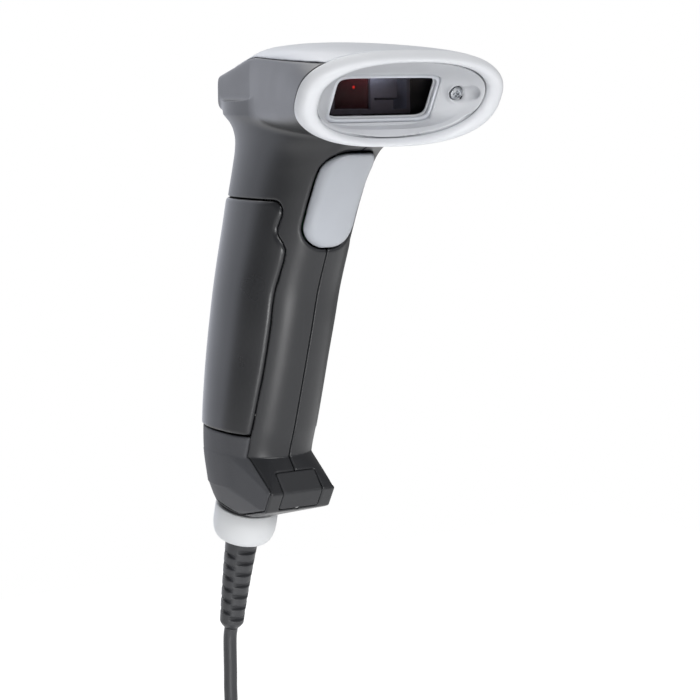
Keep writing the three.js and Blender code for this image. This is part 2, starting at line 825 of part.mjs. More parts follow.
// Housing halves, top cover, rear covers and foot pad
function noseLug() {
  const outer = seam.halfWidth - shellWall / 2 - boss.radius;
  const corners = [];
  const front = scoop.floor - boss.length - gap;
  for (const x of [noseScrew.x - boss.radius, outer]) {
    for (const t of [-boss.radius, boss.radius]) {
      for (const w of [front, front - boss.radius * 1.5]) corners.push(nosePoint(x, noseScrew.t + t, w));
    }
  }
  return toSolid(new ConvexGeometry(corners));
}

function innerSupports() {
  const solids = [];
  const drillings = [];
  const wide = grip.halfWidth;
  const { y: pinY, z: pinZ } = pivot;
  for (const side of [-1, 1]) {
    const sideBox = (inner, outer, y0, y1, z0, z1) => {
      const ends = [side * inner, side * outer];
      return box(Math.min(...ends), Math.max(...ends), y0, y1, z0, z1);
    };
    // Lug for the trigger pin
    solids.push(
      sideBox(
        lug.inner, wide, pinY - lug.halfDepth, pinY + lug.halfDepth,
        pinZ - lug.halfHeight, pinZ + lug.halfHeight,
      ),
    );
    // Ledge under the engine, and rails under the main board
    const middle = (engine.front + engine.back) / 2;
    const engineSeat = engine.floor - gap;
    solids.push(
      sideBox(
        engine.right - rail.depth, seam.halfWidth, middle - rail.depth, middle + rail.depth,
        engineSeat - rail.depth, engineSeat,
      ),
    );
    const boardSeat = mainBoard.z - gap;
    for (const y of [mainBoard.front + rail.depth, mainBoard.back - rail.depth * 1.5]) {
      solids.push(
        sideBox(
          mainBoard.halfWidth - rail.width, seam.halfWidth, y - rail.depth / 2, y + rail.depth / 2,
          boardSeat - rail.depth, boardSeat,
        ),
      );
    }
    // Rails behind the board in the grip and behind the trigger's board
    const back = lowerBoard.y + lowerBoard.thickness + gap;
    const inner = lowerBoard.halfWidth - rail.width / 2;
    for (const z of [lowerBoard.top - rail.width, lowerBoard.bottom + rail.width]) {
      solids.push(sideBox(inner, wide, back, back + rail.width, z - rail.width, z + rail.width));
    }
    const boardBack = microSwitch.front + microSwitch.depth + gap + triggerBoard.thickness + gap;
    solids.push(
      sideBox(triggerBoard.halfWidth - rail.width / 2, wide, boardBack, boardBack + rail.width,
        post.z - rail.width, post.z + rail.width),
    );
  }
  solids.push(noseLug());
  drillings.push(rod(noseScrewAxis(0), noseScrewAxis(-overrun), noseScrew.shankRadius + gap));
  drillings.push(pinRod(pivot.pinHalfLength + gap, pivot.pinRadius + gap));
  // Posts for the screws that join the halves. The heads sit in the +X half.
  for (const place of shellScrewPlaces) {
    const reach = gripAt(place.z).halfWidth;
    const point = (x) => new THREE.Vector3(x, place.y, place.z);
    const seat = place.halfLength - shellScrew.headHeight - shellScrew.headSeat;
    solids.push(rod(point(-reach), point(reach), shellScrew.postRadius));
    drillings.push(
      rod(point(-place.halfLength + shellWall), point(place.halfLength), shellScrew.shankRadius + gap),
    );
    drillings.push(rod(point(seat - gap), point(reach + overrun), shellScrew.headRadius + gap));
  }
  return { solids, drillings };
}

function addHousing() {
  const headOuter = headSolid(0);
  const headInner = headSolid(-shellWall);
  const gripOuter = gripSolid(0);
  const gripInner = gripSolid(-shellWall);
  const lowerOuter = lowerSolid(0);
  const outer = headOuter.add(gripOuter).add(lowerOuter);

  // Neck: a groove above the collar, the spigot that it seats on and the bore for the lead
  const neckRod = (from, to, radius) => rod(neckPoint(from), neckPoint(to), radius, radius, roundSides);
  const groove = neckRod(-neckEnd.groove, overrun, neckEnd.radius * 1.5).subtract(
    neckRod(-neckEnd.groove * 2, 0, neckEnd.grooveRadius),
  );
  const spigot = neckRod(-neckEnd.groove, collar.spigotDepth - gap, collar.spigotRadius);
  const bore = neckRod(-flange.bore, overrun, relief.topRadius + gap);
  const flangeRoom = neckRod(-flange.bore, -flange.bore + flange.thickness + gap * 2, flange.radius + gap);
  const gripMiddle = new THREE.Vector3(0, (gripAt(0).front + gripAt(0).rear) / 2, 0);
  const leadRoom = rod(neckPoint(-flange.bore), gripMiddle, relief.topRadius);

  let body = outer.subtract(headInner).subtract(gripInner);
  const { solids, drillings } = innerSupports();
  const envelope = headSolid(-shellWall / 2).add(gripSolid(-shellWall / 2));
  for (const piece of solids) body = body.add(piece.intersect(envelope));
  const ahead = aheadOf(-gap);
  body = body.subtract(ahead).subtract(groove).add(spigot);
  for (const hole of [bore, flangeRoom, leadRoom, ...drillings]) body = body.subtract(hole);
  body = body.subtract(aboveEdge(-gap / 2, gap));
  body = body.subtract(triggerOutline(slidingGap));

  // Recess for the rear grip cover, then for the lower cover
  const wide = grip.halfWidth + overrun;
  const skinOut = gripSolid(overrun / 10);
  const rearCutter = prismX(rearCoverOutline(gap), -wide, wide);
  const rearCore = gripSolid(rearCover.proud - rearCover.thickness - gap);
  body = body.subtract(rearCutter.intersect(skinOut).subtract(rearCore));
  const lowerCutter = prismX(lowerCoverOutline(gap), -wide, wide);
  const lowerSkin = lowerSolid(-overrun / 10).add(skinOut);
  const lowerCore = lowerSolid(lowerCover.thickness + gap).add(gripSolid(-lowerCover.thickness - gap));
  body = body.subtract(lowerCutter.intersect(lowerSkin).subtract(lowerCore));

  // Recess for the foot pad
  body = body.subtract(footPad(gap));

  const half = partingGap / 2;
  const high = crease.z + crease.up + overrun;
  const low = foot.lowerZ - overrun;
  for (const [name, side] of [["housing_left", -1], ["housing_right", 1]]) {
    const region = box(
      side < 0 ? -wide * 2 : half, side < 0 ? -half : wide * 2, nose.y - wide, headRear.y + wide, low, high,
    );
    addNode(name, body.intersect(region), looks.darkPlastic);
  }

  const cover = headOuter.subtract(headInner).intersect(aboveEdge(gap / 2, 0)).subtract(ahead);
  addNode("top_cover", cover, looks.palePlastic);

  const rear = prismX(rearCoverOutline(0), -wide, wide)
    .intersect(gripSolid(rearCover.proud))
    .subtract(gripSolid(rearCover.proud - rearCover.thickness));
  addNode("rear_grip_cover", rear, looks.softPlastic);

  const lower = prismX(lowerCoverOutline(0), -wide, wide)
    .intersect(lowerOuter.add(gripOuter))
    .subtract(lowerSolid(lowerCover.thickness))
    .subtract(gripSolid(-lowerCover.thickness));
  addNode("lower_rear_cover", lower, looks.texturedPlastic);
  addNode("foot_pad", footPad(0), looks.blackRubber);
}

// Pad over the ridge of the foot: its outline follows the slope and the front face
function footPad(grow) {
  const slope = new THREE.Vector2(pad.back - foot.frontY, pad.backZ - foot.ridgeZ).normalize();
  const front = new THREE.Vector2(foot.lowerY - foot.frontY, foot.lowerZ - foot.ridgeZ).normalize();
  const thick = pad.thickness + grow;
  const lower = [foot.lowerY - front.x * foot.corner, foot.lowerZ - front.y * foot.corner];
  const out = grow;
  const outline = [
    [pad.back - slope.y * out + slope.x * grow, pad.backZ + slope.x * out + slope.y * grow],
    [foot.frontY - out, foot.ridgeZ + out / 2],
    [lower[0] - out + front.x * grow, lower[1] + front.y * grow],
    [lower[0] + thick * 0.9 + front.x * grow, lower[1] + thick * 0.4 + front.y * grow],
    [foot.frontY + thick * 1.4, foot.ridgeZ + thick * 0.1],
    [pad.back + slope.y * thick + slope.x * grow, pad.backZ - slope.x * thick + slope.y * grow],
  ];
  return prismX(outline, -pad.halfWidth - grow, pad.halfWidth + grow);
}

// Trigger with its boss and post, its pin and its spring
function addTrigger() {
  const rise = trigger.proud;
  let body = gripSolid(rise).subtract(gripSolid(rise - trigger.thickness)).intersect(triggerOutline(0));
  const left = -pivot.bossHalfLength;
  const bossRod = pinRod(pivot.bossHalfLength, pivot.bossRadius);
  const skin = gripAt(pivot.z).front + trigger.thickness - rise;
  const { y: pinY, z: pinZ, bossRadius } = pivot;
  const web = box(left, -left, skin - rise, pinY, pinZ - bossRadius, pinZ + bossRadius);
  const springRoom = spring.turns * (spring.wire + gap) / 2 + gap;
  const slotReach = bossRadius + overrun / 5;
  const springSlot = box(
    -springRoom, springRoom, skin + gap, pinY + overrun, pinZ - slotReach, pinZ + slotReach,
  );
  const pinHole = pinRod(overrun, pivot.pinRadius + gap);
  body = body.add(web.add(bossRod).subtract(springSlot)).subtract(pinHole);
  const postSkin = gripAt(post.z).front + trigger.thickness - rise;
  const postTip = microSwitch.front - plunger.stickOut - gap;
  const postAt = (y) => new THREE.Vector3(0, y, post.z);
  body = body.add(rod(postAt(postSkin - rise), postAt(postTip), post.radius));
  addNode("trigger", body, looks.triggerPlastic);
  addNode("trigger_pin", pinRod(pivot.pinHalfLength, pivot.pinRadius), looks.steel);

  // Torsion spring round the pin, between the two halves of the boss
  const points = [];
  const steps = spring.turns * spring.stepsPerTurn;
  const pitch = spring.wire + gap;
  const radius = spring.coilRadius;
  const start = (-spring.turns * pitch) / 2;
  points.push(new THREE.Vector3(start, pinY + radius, pinZ - spring.leg));
  for (let i = 0; i <= steps; i++) {
    const angle = (2 * Math.PI * i) / spring.stepsPerTurn;
    const x = start + (pitch * i) / spring.stepsPerTurn;
    points.push(new THREE.Vector3(x, pinY + radius * Math.cos(angle), pinZ + radius * Math.sin(angle)));
  }
  points.push(new THREE.Vector3(-start, pinY + radius, pinZ + spring.leg));
  addNode("trigger_spring", tubeAlong(points, spring.wire / 2, spring.sides), looks.steel);
}

// Tube with flat ends over a list of points, its rings square to the path
function tubeAlong(points, radius, sides) {
  const rings = [];
  let across = null;
  points.forEach((point, i) => {
    const before = points[Math.max(i - 1, 0)];
    const after = points[Math.min(i + 1, points.length - 1)];
    const along = after.clone().sub(before).normalize();
    if (!across) across = Math.abs(along.x) < 0.9 ? new THREE.Vector3(1, 0, 0) : new THREE.Vector3(0, 1, 0);
    across = across.clone().addScaledVector(along, -across.dot(along)).normalize();
    const other = along.clone().cross(across);
    const ring = [];
    for (let j = 0; j < sides; j++) {
      const angle = (2 * Math.PI * (j + 0.5)) / sides;
      const aside = point.clone().addScaledVector(across, radius * Math.cos(angle));
      ring.push(aside.addScaledVector(other, radius * Math.sin(angle)));
    }
    rings.push(ring);
  });
  return ringSolid(rings);
}

function addSwitch() {
  const { halfWidth, front, depth, height } = microSwitch;
  const back = front + depth;
  const half = height / 2;
  const axis = (y) => new THREE.Vector3(0, y, post.z);
  const wellEnd = front + plunger.seat + plunger.stroke + gap;
  const well = rod(axis(front - overrun), axis(wellEnd), plunger.radius + gap);
  const body = box(-halfWidth, halfWidth, front, back, post.z - half, post.z + half);
  addNode("micro_switch", body.subtract(well), looks.blackPlastic);
  const button = rod(axis(front - plunger.stickOut), axis(front + plunger.seat), plunger.radius);
  addNode("switch_plunger", button, looks.redPlastic);
  const boardFront = back + gap;
  const boardHalf = triggerBoard.height / 2;
  const board = box(
    -triggerBoard.halfWidth, triggerBoard.halfWidth, boardFront, boardFront + triggerBoard.thickness,
    post.z - boardHalf, post.z + boardHalf,
  );
  addNode("trigger_board", board, looks.boardGreen);
}

// Engine: open-fronted casting, filter, detector, mirror and its drive, laser
function addEngine() {
  const wall = engine.wall;
  const { left, right, front, back, floor, top } = engine;
  let chassis = box(left, right, front, back, floor, floor + wall);
  chassis = chassis.add(box(left, left + wall, front, back, floor, top));
  chassis = chassis.add(box(right - wall, right, front, back, floor, top));
  chassis = chassis.add(box(left, right, back - wall, back, floor, top));
  chassis = chassis.add(box(divider.x, divider.x + wall, front, divider.back, floor, top));
  const stepLeft = divider.x + wall - gap;
  const stepTop = floor + wall + driveStep.height;
  const seatTop = stepTop - gap;
  chassis = chassis.add(box(stepLeft, driveStep.right, driveStep.front, drive.back, floor, seatTop));
  const laserAxis = (y) => new THREE.Vector3(laser.x, y, laser.z);
  const laserBack = laser.front + laser.length;
  chassis = chassis.subtract(rod(laserAxis(laserBack - wall), laserAxis(back + wall), laser.radius * 0.6));
  const shaftAxis = (z) => new THREE.Vector3(mirror.x, mirror.y, z);
  const shaftRoom = rod(shaftAxis(floor + gap * 2), shaftAxis(floor + wall * 2), mirror.shaftRadius + gap);
  chassis = chassis.subtract(shaftRoom);
  addNode("engine_chassis", chassis, looks.casting);

  const filterLeft = left + wall + gap;
  const filterRight = divider.x - gap;
  const filterFront = front + filter.inset;
  const filterBack = filterFront + filter.thickness;
  addNode(
    "receive_filter",
    box(filterLeft, filterRight, filterFront, filterBack, floor + wall + gap, top - filter.topInset),
    looks.redPlastic,
  );
  const { x, z, halfWidth, halfHeight, depth } = detector;
  const cellBack = back - wall - gap;
  addNode(
    "photo_detector",
    box(x - halfWidth, x + halfWidth, cellBack - depth, cellBack, z - halfHeight, z + halfHeight),
    looks.blackPlastic,
  );
  addNode(
    "mirror_drive",
    box(
      divider.x + wall + gap, drive.right, drive.front, drive.back, stepTop + drive.clearance, top - gap,
    ),
    looks.casting,
  );

  // Mirror on its shaft, with the magnet that the drive swings
  const glassBottom = floor + wall + gap + rotor.height;
  const glass = new THREE.BoxGeometry(mirror.width, mirror.thickness, mirror.height);
  glass.translate(0, -mirror.shaftRadius, glassBottom + mirror.height / 2);
  glass.rotateZ(THREE.MathUtils.degToRad(mirror.turnDegrees));
  glass.translate(mirror.x, mirror.y, 0);
  const shaftTop = glassBottom + mirror.height + gap;
  const shaft = rod(shaftAxis(floor + gap * 3), shaftAxis(shaftTop), mirror.shaftRadius);
  addNode("scan_mirror", toSolid(glass).add(shaft), looks.mirrorGlass);
  const magnet = new THREE.BoxGeometry(rotor.width, rotor.depth, rotor.height - gap);
  magnet.rotateZ(THREE.MathUtils.degToRad(mirror.turnDegrees));
  magnet.translate(mirror.x, mirror.y, floor + wall + gap + (rotor.height - gap) / 2);
  const shaftHole = rod(shaftAxis(floor), shaftAxis(glassBottom), mirror.shaftRadius + gap / 2);
  addNode("mirror_magnet", toSolid(magnet).subtract(shaftHole), looks.steel);

  const barrel = turned(
    [
      [0, 0],
      [laser.radius * 0.35, 0],
      [laser.radius * 0.35, -gap],
      [laser.radius, -gap],
      [laser.radius, -laser.length + wall + gap],
      [0, -laser.length + wall + gap],
    ],
    laserAxis(laser.front),
    new THREE.Vector3(0, -1, 0),
  );
  addNode("laser_module", barrel, looks.brass);
}

function addBoards() {
  const boardTop = mainBoard.z + mainBoard.thickness;
  addNode(
    "main_board",
    box(-mainBoard.halfWidth, mainBoard.halfWidth, mainBoard.front, mainBoard.back, mainBoard.z, boardTop),
    looks.boardGreen,
  );
  const base = new THREE.Vector3(0, buzzer.y, boardTop + gap);
  const hole = buzzer.radius / 4;
  addNode(
    "buzzer",
    turned(
      [
        [0, 0],
        [buzzer.radius, 0],
        [buzzer.radius, buzzer.height],
        [hole, buzzer.height],
        [hole, buzzer.height / 2],
        [0, buzzer.height / 2],
      ],
      base,
      new THREE.Vector3(0, 0, 1),
    ),
    looks.blackPlastic,
  );
  const { halfWidth, y, bottom, top, thickness } = lowerBoard;
  const boardBack = y + thickness;
  const board = box(-halfWidth, halfWidth, y, boardBack, bottom, top);
  addNode("interface_board", board, looks.boardGreen);
  const headerFront = boardBack + gap;
  addNode(
    "lead_header",
    box(
      -header.halfWidth, header.halfWidth, headerFront, headerFront + header.depth, header.bottom,
      header.bottom + header.height,
    ),
    looks.whitePlastic,
  );
  // Flat ribbon from the main board down to the board in the grip
  const from = mainBoard.z - gap;
  const ribbonFront = lowerBoard.y - gap - ribbon.thickness;
  const bend = from - ribbon.y;
  addNode(
    "ribbon_cable",
    prismX(
      [
        [ribbon.y, from],
        [ribbon.y, from - ribbon.thickness * 2],
        [ribbonFront, bend - ribbon.y * 2],
        [ribbonFront, lowerBoard.top - ribbon.y],
        [ribbonFront + ribbon.thickness, lowerBoard.top - ribbon.y],
        [ribbonFront + ribbon.thickness, bend - ribbon.y * 2],
        [ribbon.y + ribbon.thickness, from - ribbon.thickness * 2],
        [ribbon.y + ribbon.thickness, from],
      ],
      -ribbon.halfWidth,
      ribbon.halfWidth,
    ),
    looks.ribbonWhite,
  );
}

function addShellScrews() {
  const names = ["housing_screw_upper", "housing_screw_lower"];
  shellScrewPlaces.forEach((place, i) => {
    const head = place.halfLength - shellScrew.headSeat;
    const seat = head - shellScrew.headHeight;
    const point = (x) => new THREE.Vector3(x, place.y, place.z);
    const tip = -place.halfLength + shellWall + gap * 2;
    const shank = rod(point(tip), point(seat + gap), shellScrew.shankRadius);
    addNode(names[i], rod(point(seat), point(head), shellScrew.headRadius).add(shank), looks.steel);
  });
}

// Collar and strain relief
const reliefTurn = lean - THREE.MathUtils.degToRad(relief.endLeanDegrees);

// Point and direction of the strain relief's centre line, from the neck's end face downwards
function reliefPoint(distance) {
  const straight = collar.height;
  if (distance <= straight) return { point: neckPoint(distance), down: neckDown.clone() };
  const radius = relief.length / reliefTurn;
  const angle = Math.min((distance - straight) / radius, reliefTurn);
  const bent = radius * angle;
  const point = neckPoint(straight)
    .addScaledVector(neckDown, radius * Math.sin(angle))
    .addScaledVector(neckBack, -radius * (1 - Math.cos(angle)));
  const down = neckDown.clone().multiplyScalar(Math.cos(angle)).addScaledVector(neckBack, -Math.sin(angle));
  point.addScaledVector(down, distance - straight - bent);
  return { point, down };
}

function addCollar() {
  const { radius, height, straight, mouthRadius, spigotDepth, spigotRadius } = collar;
  const round = height - straight;
  const profile = [
    [spigotRadius + gap, gap],
    [radius, gap],
    [radius, straight],
  ];
  for (let i = 1; i <= cornerSteps; i++) {
    const angle = (Math.PI / 2) * (i / (cornerSteps + 1));
    const inwards = (radius - mouthRadius - round / 4) * (1 - Math.cos(angle));
    profile.push([radius - inwards, straight + round * Math.sin(angle)]);
  }
  profile.push([mouthRadius, height]);
  profile.push([mouthRadius, spigotDepth]);
  profile.push([spigotRadius + gap, spigotDepth]);
  profile.push([spigotRadius + gap, gap]);
  addNode("cable_collar", turned(profile, neckCentre, neckDown, ringPoints), looks.whiteRubber);
}

function reliefRadius(distance) {
  const share = Math.min(Math.max((distance - collar.height) / relief.length, 0), 1);
  return relief.topRadius + (relief.endRadius - relief.topRadius) * share;
}

function addRelief() {
  const end = collar.height + relief.length;
  const stations = [
    [-flange.bore + gap, flange.radius],
    [-flange.bore + gap + flange.thickness, flange.radius],
    [-flange.bore + gap + flange.thickness, relief.topRadius],
    [collar.height, relief.topRadius],
  ];
  for (let i = 1; i <= reliefRings; i++) {
    const distance = collar.height + ((relief.length - relief.chamfer) * i) / reliefRings;
    stations.push([distance, reliefRadius(distance)]);
  }
  stations.push([end, cord.diameter / 2 + gap * 2]);
  const rings = stations.map(([distance, radius]) => {
    const { point, down } = reliefPoint(distance);
    const back = new THREE.Vector3().crossVectors(alongX, down).normalize();
    return roundUnit(2, roundSides).map(([a, b]) =>
      point.clone().addScaledVector(alongX, radius * a).addScaledVector(back, radius * b),
    );
  });
  let solid = ringSolid(rings);
  // Slots on the front and rear, then on the sides, in turn
  const run = relief.length - relief.chamfer - reliefSlots.first;
  for (let i = 0; i < reliefSlots.count; i++) {
    const distance = collar.height + reliefSlots.first + (run * i) / reliefSlots.count;
    const { point, down } = reliefPoint(distance);
    const back = new THREE.Vector3().crossVectors(alongX, down).normalize();
    const outer = reliefRadius(distance);
    const along = i % 2 ? alongX : back;
    const wide = i % 2 ? back : alongX;
    for (const side of [-1, 1]) {
      const corners = [];
      for (const a of [-reliefSlots.width / 2, reliefSlots.width / 2]) {
        for (const b of [-outer, outer]) {
          for (const c of [outer - reliefSlots.depth, outer + overrun]) {
            const corner = point.clone().addScaledVector(down, a).addScaledVector(wide, b * 0.8);
            corners.push(corner.addScaledVector(along, side * c));
          }
        }
      }
      solid = solid.subtract(toSolid(new ConvexGeometry(corners)));
    }
  }
  addNode("strain_relief", solid, looks.cordRubber);

  // Stretch of the lead inside the grip, from the relief's flange to the header
  const inside = neckPoint(-flange.bore - gap);
  const headerY = lowerBoard.y + lowerBoard.thickness + gap + header.depth / 2;
  const points = [
    inside,
    inside.clone().addScaledVector(neckDown, -cord.diameter * 1.5),
    new THREE.Vector3(0, (inside.y + headerY) / 2 + cord.diameter / 2, (inside.z + header.bottom) / 2),
    new THREE.Vector3(0, headerY, header.bottom - cord.diameter * 2),
    new THREE.Vector3(0, headerY, header.bottom - gap),
  ];
  const path = new THREE.CatmullRomCurve3(points, false, "centripetal").getPoints(cord.sides);
  addNode("inner_lead", tubeAlong(path, cord.diameter * 0.4, cord.sides), looks.cordRubber);
}

// Lead: it drops from the strain relief, passes sideways to the outer run of the hank and meets it straight
const hankTurns = hank.loops / hank.layers;
const hankCentreZ = -hank.drop;
const reliefEnd = reliefPoint(collar.height + relief.length + cord.diameter).point;

// Place on the hank after a number of loops, counted from the top of its outer right run
function hankPoint(loops) {
  const layer = Math.min(Math.max(Math.floor(loops / hankTurns), 0), hank.layers - 1);
  const within = loops - layer * hankTurns;
  const outwards = layer % 2 === 1;
  const ring = outwards ? within : hankTurns - within;
  // The climb to the next layer takes a half loop about each reversal
  let height = layer;
  const climb = hank.climbShare;
  const left = hankTurns - within;
  if (left < climb && layer < hank.layers - 1) height += (climb - left) / (2 * climb);
  if (within < climb && layer > 0) height += (within - climb) / (2 * climb);
  const angle = -2 * Math.PI * loops;
  const c = Math.cos(angle);
  const s = Math.sin(angle);
  const z = s * (hank.halfHeight + ring * hank.spacing);
  const away = Math.min(Math.abs(z) / hank.halfHeight, 1);
  const drawn = hank.waistHalfWidth + (hank.endHalfWidth - hank.waistHalfWidth) * away ** 2;
  const x = Math.sign(c) * Math.abs(c) ** hank.runShare * (drawn + ring * hank.spacing);
  const y = reliefEnd.y + (height - (hank.layers - 1) / 2) * hank.spacing;
  return new THREE.Vector3(x, y, hankCentreZ + z);
}

function hankPath() {
  const points = [];
  const last = hank.loops * hankSteps.perLoop + hankSteps.tail;
  for (let i = -hankSteps.tail; i <= last; i++) points.push(hankPoint(i / hankSteps.perLoop));
  return points;
}

// Least gap between stretches of the tube that are not neighbours
function leastSelfGap(points, diameter) {
  const fine = [];
  const parts = hankSteps.measured;
  for (let i = 0; i + 1 < points.length; i++) {
    for (let k = 0; k < parts; k++) fine.push(points[i].clone().lerp(points[i + 1], k / parts));
  }
  const lengths = [0];
  for (let i = 1; i < fine.length; i++) lengths.push(lengths[i - 1] + fine[i].distanceTo(fine[i - 1]));
  let least = Infinity;
  for (let i = 0; i < fine.length; i++) {
    for (let j = i + 1; j < fine.length; j++) {
      if (lengths[j] - lengths[i] < diameter * 4) continue;
      least = Math.min(least, fine[i].distanceTo(fine[j]));
    }
  }
  return { gap: least - diameter, length: lengths.at(-1) };
}

function addLead() {
  const path = hankPath();
  const straight = cord.diameter;
  const top = path[0].clone().add(new THREE.Vector3(0, 0, straight));
  const bottom = path.at(-1).clone().add(new THREE.Vector3(0, 0, -hankTailLength));
  const bend = path.at(-1).clone().add(new THREE.Vector3(0, 0, -straight));
  const wound = [top, ...path, bend, bottom];
  const { gap: selfGap, length } = leastSelfGap(wound, cord.diameter);
  console.log(`hank: least gap to itself ${selfGap.toFixed(2)} mm, length ${length.toFixed(0)} mm`);
  addNode("lead_hank", tubeAlong(wound, cord.diameter / 2, hankSteps.sides), looks.cordRubber);

  // Free stretch from the strain relief to the hank
  const { point: exit, down: exitDown } = reliefPoint(collar.height + relief.length);
  const start = exit.clone().addScaledVector(exitDown, gap + cord.diameter);
  const end = top.clone().add(new THREE.Vector3(0, 0, gap));
  const points = [exit.clone().addScaledVector(exitDown, gap), start];
  for (const [across, down] of leadRouteShares) {
    const aside = start.clone().lerp(end, across);
    points.push(aside.setZ(start.z + (end.z - start.z) * down));
  }
  points.push(end);
  addNode("lead", tubeAlong(points, cord.diameter / 2, cord.sides), looks.cordRubber);

  // Strap round the waist of the hank
  const across = hank.waistHalfWidth + hankTurns * hank.spacing + cord.diameter / 2 + gap * 4;
  const deep = ((hank.layers - 1) / 2) * hank.spacing + cord.diameter / 2 + gap * 4;
  const strapRing = (grow, z) =>
    roundUnit(tie.roundness, roundSides + 2).map(
      ([a, b]) => new THREE.Vector3(a * (across + grow), reliefEnd.y + b * (deep + grow), hankCentreZ + z),
    );
  const half = tie.height / 2;
  const strap = [
    strapRing(0, -half),
    strapRing(tie.thickness, -half),
    strapRing(tie.thickness, half),
    strapRing(0, half),
  ];
  addNode("hank_tie", ringSolid(strap, true), looks.blackRubber);
  addPlug(bottom);
}

// Plug that hangs from the end of the lead
function addPlug(end) {
  const down = (distance) => new THREE.Vector3(end.x, end.y, end.z - gap - distance);
  const block = (width, thickness, from, to) => {
    const a = down(from);
    const b = down(to);
    return box(a.x - width / 2, a.x + width / 2, a.y - thickness / 2, a.y + thickness / 2, b.z, a.z);
  };
  const gripRings = [];
  const { width, thickness, length, neckRadius, neckLength, roundness, pocket } = plugGrip;
  for (const [distance, x, y, power] of [
    [0, neckRadius * 0.8, neckRadius * 0.8, 2],
    [neckLength, neckRadius, neckRadius, 2],
    [neckLength + neckRadius / 2, width / 2 - neckRadius / 4, thickness / 2 - neckRadius / 8, roundness],
    [neckLength + neckRadius, width / 2, thickness / 2, roundness],
    [neckLength + length, width / 2, thickness / 2, roundness],
  ]) {
    const middle = down(distance);
    const unit = roundUnit(power, roundSides + 2);
    gripRings.push(unit.map(([a, b]) => new THREE.Vector3(middle.x + a * x, middle.y + b * y, middle.z)));
  }
  const mouthAt = neckLength + length;
  const roomWidth = plugShell.width + gap * 2;
  const roomThickness = plugShell.thickness + gap * 2;
  const room = block(roomWidth, roomThickness, mouthAt - pocket - gap, mouthAt + overrun);
  addNode("plug_grip", ringSolid(gripRings).subtract(room), looks.blackPlastic);

  const tip = mouthAt + plugShell.length;
  const inside = 2 * plugShell.wall;
  const hollow = block(
    plugShell.width - inside, plugShell.thickness - inside, mouthAt - pocket - overrun, tip + overrun,
  );
  const shell = block(plugShell.width, plugShell.thickness, mouthAt - pocket, tip).subtract(hollow);
  addNode("plug_shell", shell, looks.steel);
  const tongueY = (plugShell.thickness - inside) / 2 - gap / 2 - plugTongue.thickness / 2;
  const tongue = block(plugTongue.width, plugTongue.thickness, mouthAt - pocket, tip - plugTongue.recess);
  addNode("plug_tongue", tongue.translate([0, tongueY, 0]), looks.whitePlastic);
}

addBumper();
addRecess();
addNoseScrew();
addHousing();
addTrigger();
addSwitch();
addEngine();
addBoards();
addShellScrews();
addCollar();
addRelief();
addLead();

export default group;
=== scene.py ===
"""Handheld barcode scanner with its lead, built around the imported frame. Lengths are in metres."""

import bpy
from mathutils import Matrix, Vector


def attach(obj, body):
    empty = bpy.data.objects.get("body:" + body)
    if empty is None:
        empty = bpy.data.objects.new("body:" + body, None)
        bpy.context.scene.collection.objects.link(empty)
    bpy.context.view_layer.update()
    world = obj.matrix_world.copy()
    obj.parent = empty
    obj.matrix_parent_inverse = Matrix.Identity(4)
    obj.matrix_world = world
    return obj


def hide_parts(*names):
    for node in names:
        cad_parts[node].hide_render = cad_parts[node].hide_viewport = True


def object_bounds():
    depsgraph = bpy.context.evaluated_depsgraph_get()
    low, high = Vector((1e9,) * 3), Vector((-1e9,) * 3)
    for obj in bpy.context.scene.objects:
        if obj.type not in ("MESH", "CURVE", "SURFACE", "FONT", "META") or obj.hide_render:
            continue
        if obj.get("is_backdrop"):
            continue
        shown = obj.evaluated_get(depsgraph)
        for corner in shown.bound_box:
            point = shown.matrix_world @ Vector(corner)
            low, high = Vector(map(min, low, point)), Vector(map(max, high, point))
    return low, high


bl_info = {
    "name": "Handheld Barcode Scanner",
    "version": (1, 0, 0),
    "blender": (4, 5, 0),
    "location": "View3D > Sidebar > Scanner",
    "description": "Builds a handheld barcode scanner, its lead and its studio stage",
    "category": "Add Mesh",
}

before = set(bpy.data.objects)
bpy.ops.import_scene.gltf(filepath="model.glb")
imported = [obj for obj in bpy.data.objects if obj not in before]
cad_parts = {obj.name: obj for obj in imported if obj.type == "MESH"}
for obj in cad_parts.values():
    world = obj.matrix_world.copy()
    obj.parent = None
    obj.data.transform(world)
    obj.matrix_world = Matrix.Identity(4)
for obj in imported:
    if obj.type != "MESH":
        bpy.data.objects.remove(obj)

import math

import bmesh
import bpy
import numpy as np
from mathutils import Matrix, Vector

CAD_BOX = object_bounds()
LOWEST = CAD_BOX[0][2]

FINEST = 0.00014
TRIGGER_CELLS = (0.0003, 0.0007)
RECESS_CELLS = (0.00032, 0.0007)
QUICK_CELL = 0.0008
COVER_CELL_SHARE = 1.3
PAD_CELL_SHARE = 0.75

# Boxes that hold the forms of the shell and the carved pieces
ROOMS = {
    "grip": ((-0.03, -0.06, -0.052), (0.03, 0.07, 0.084)),
    "head": ((-0.06, -0.08, 0.058), (0.06, 0.06, 0.11)),
    "base": ((-0.03, -0.01, -0.07), (0.03, 0.065, -0.034)),
    "shell_left": ((-0.041, -0.056, -0.067), (0.001, 0.056, 0.103)),
    "crown_cover": ((-0.034, -0.059, 0.087), (0.034, 0.038, 0.102)),
    "grip_cover": ((-0.019, -0.01, -0.032), (0.019, 0.055, 0.051)),
    "base_cover": ((-0.018, 0.003, -0.062), (0.018, 0.055, -0.028)),
    "toe_pad": ((-0.009, 0.001, -0.058), (0.009, 0.015, -0.039)),
    "mouth_recess": ((-0.0355, -0.064, 0.066), (0.0355, -0.034, 0.1)),
    "trigger_key": ((-0.0108, -0.036, 0.0325), (0.0108, -0.006, 0.0675)),
}
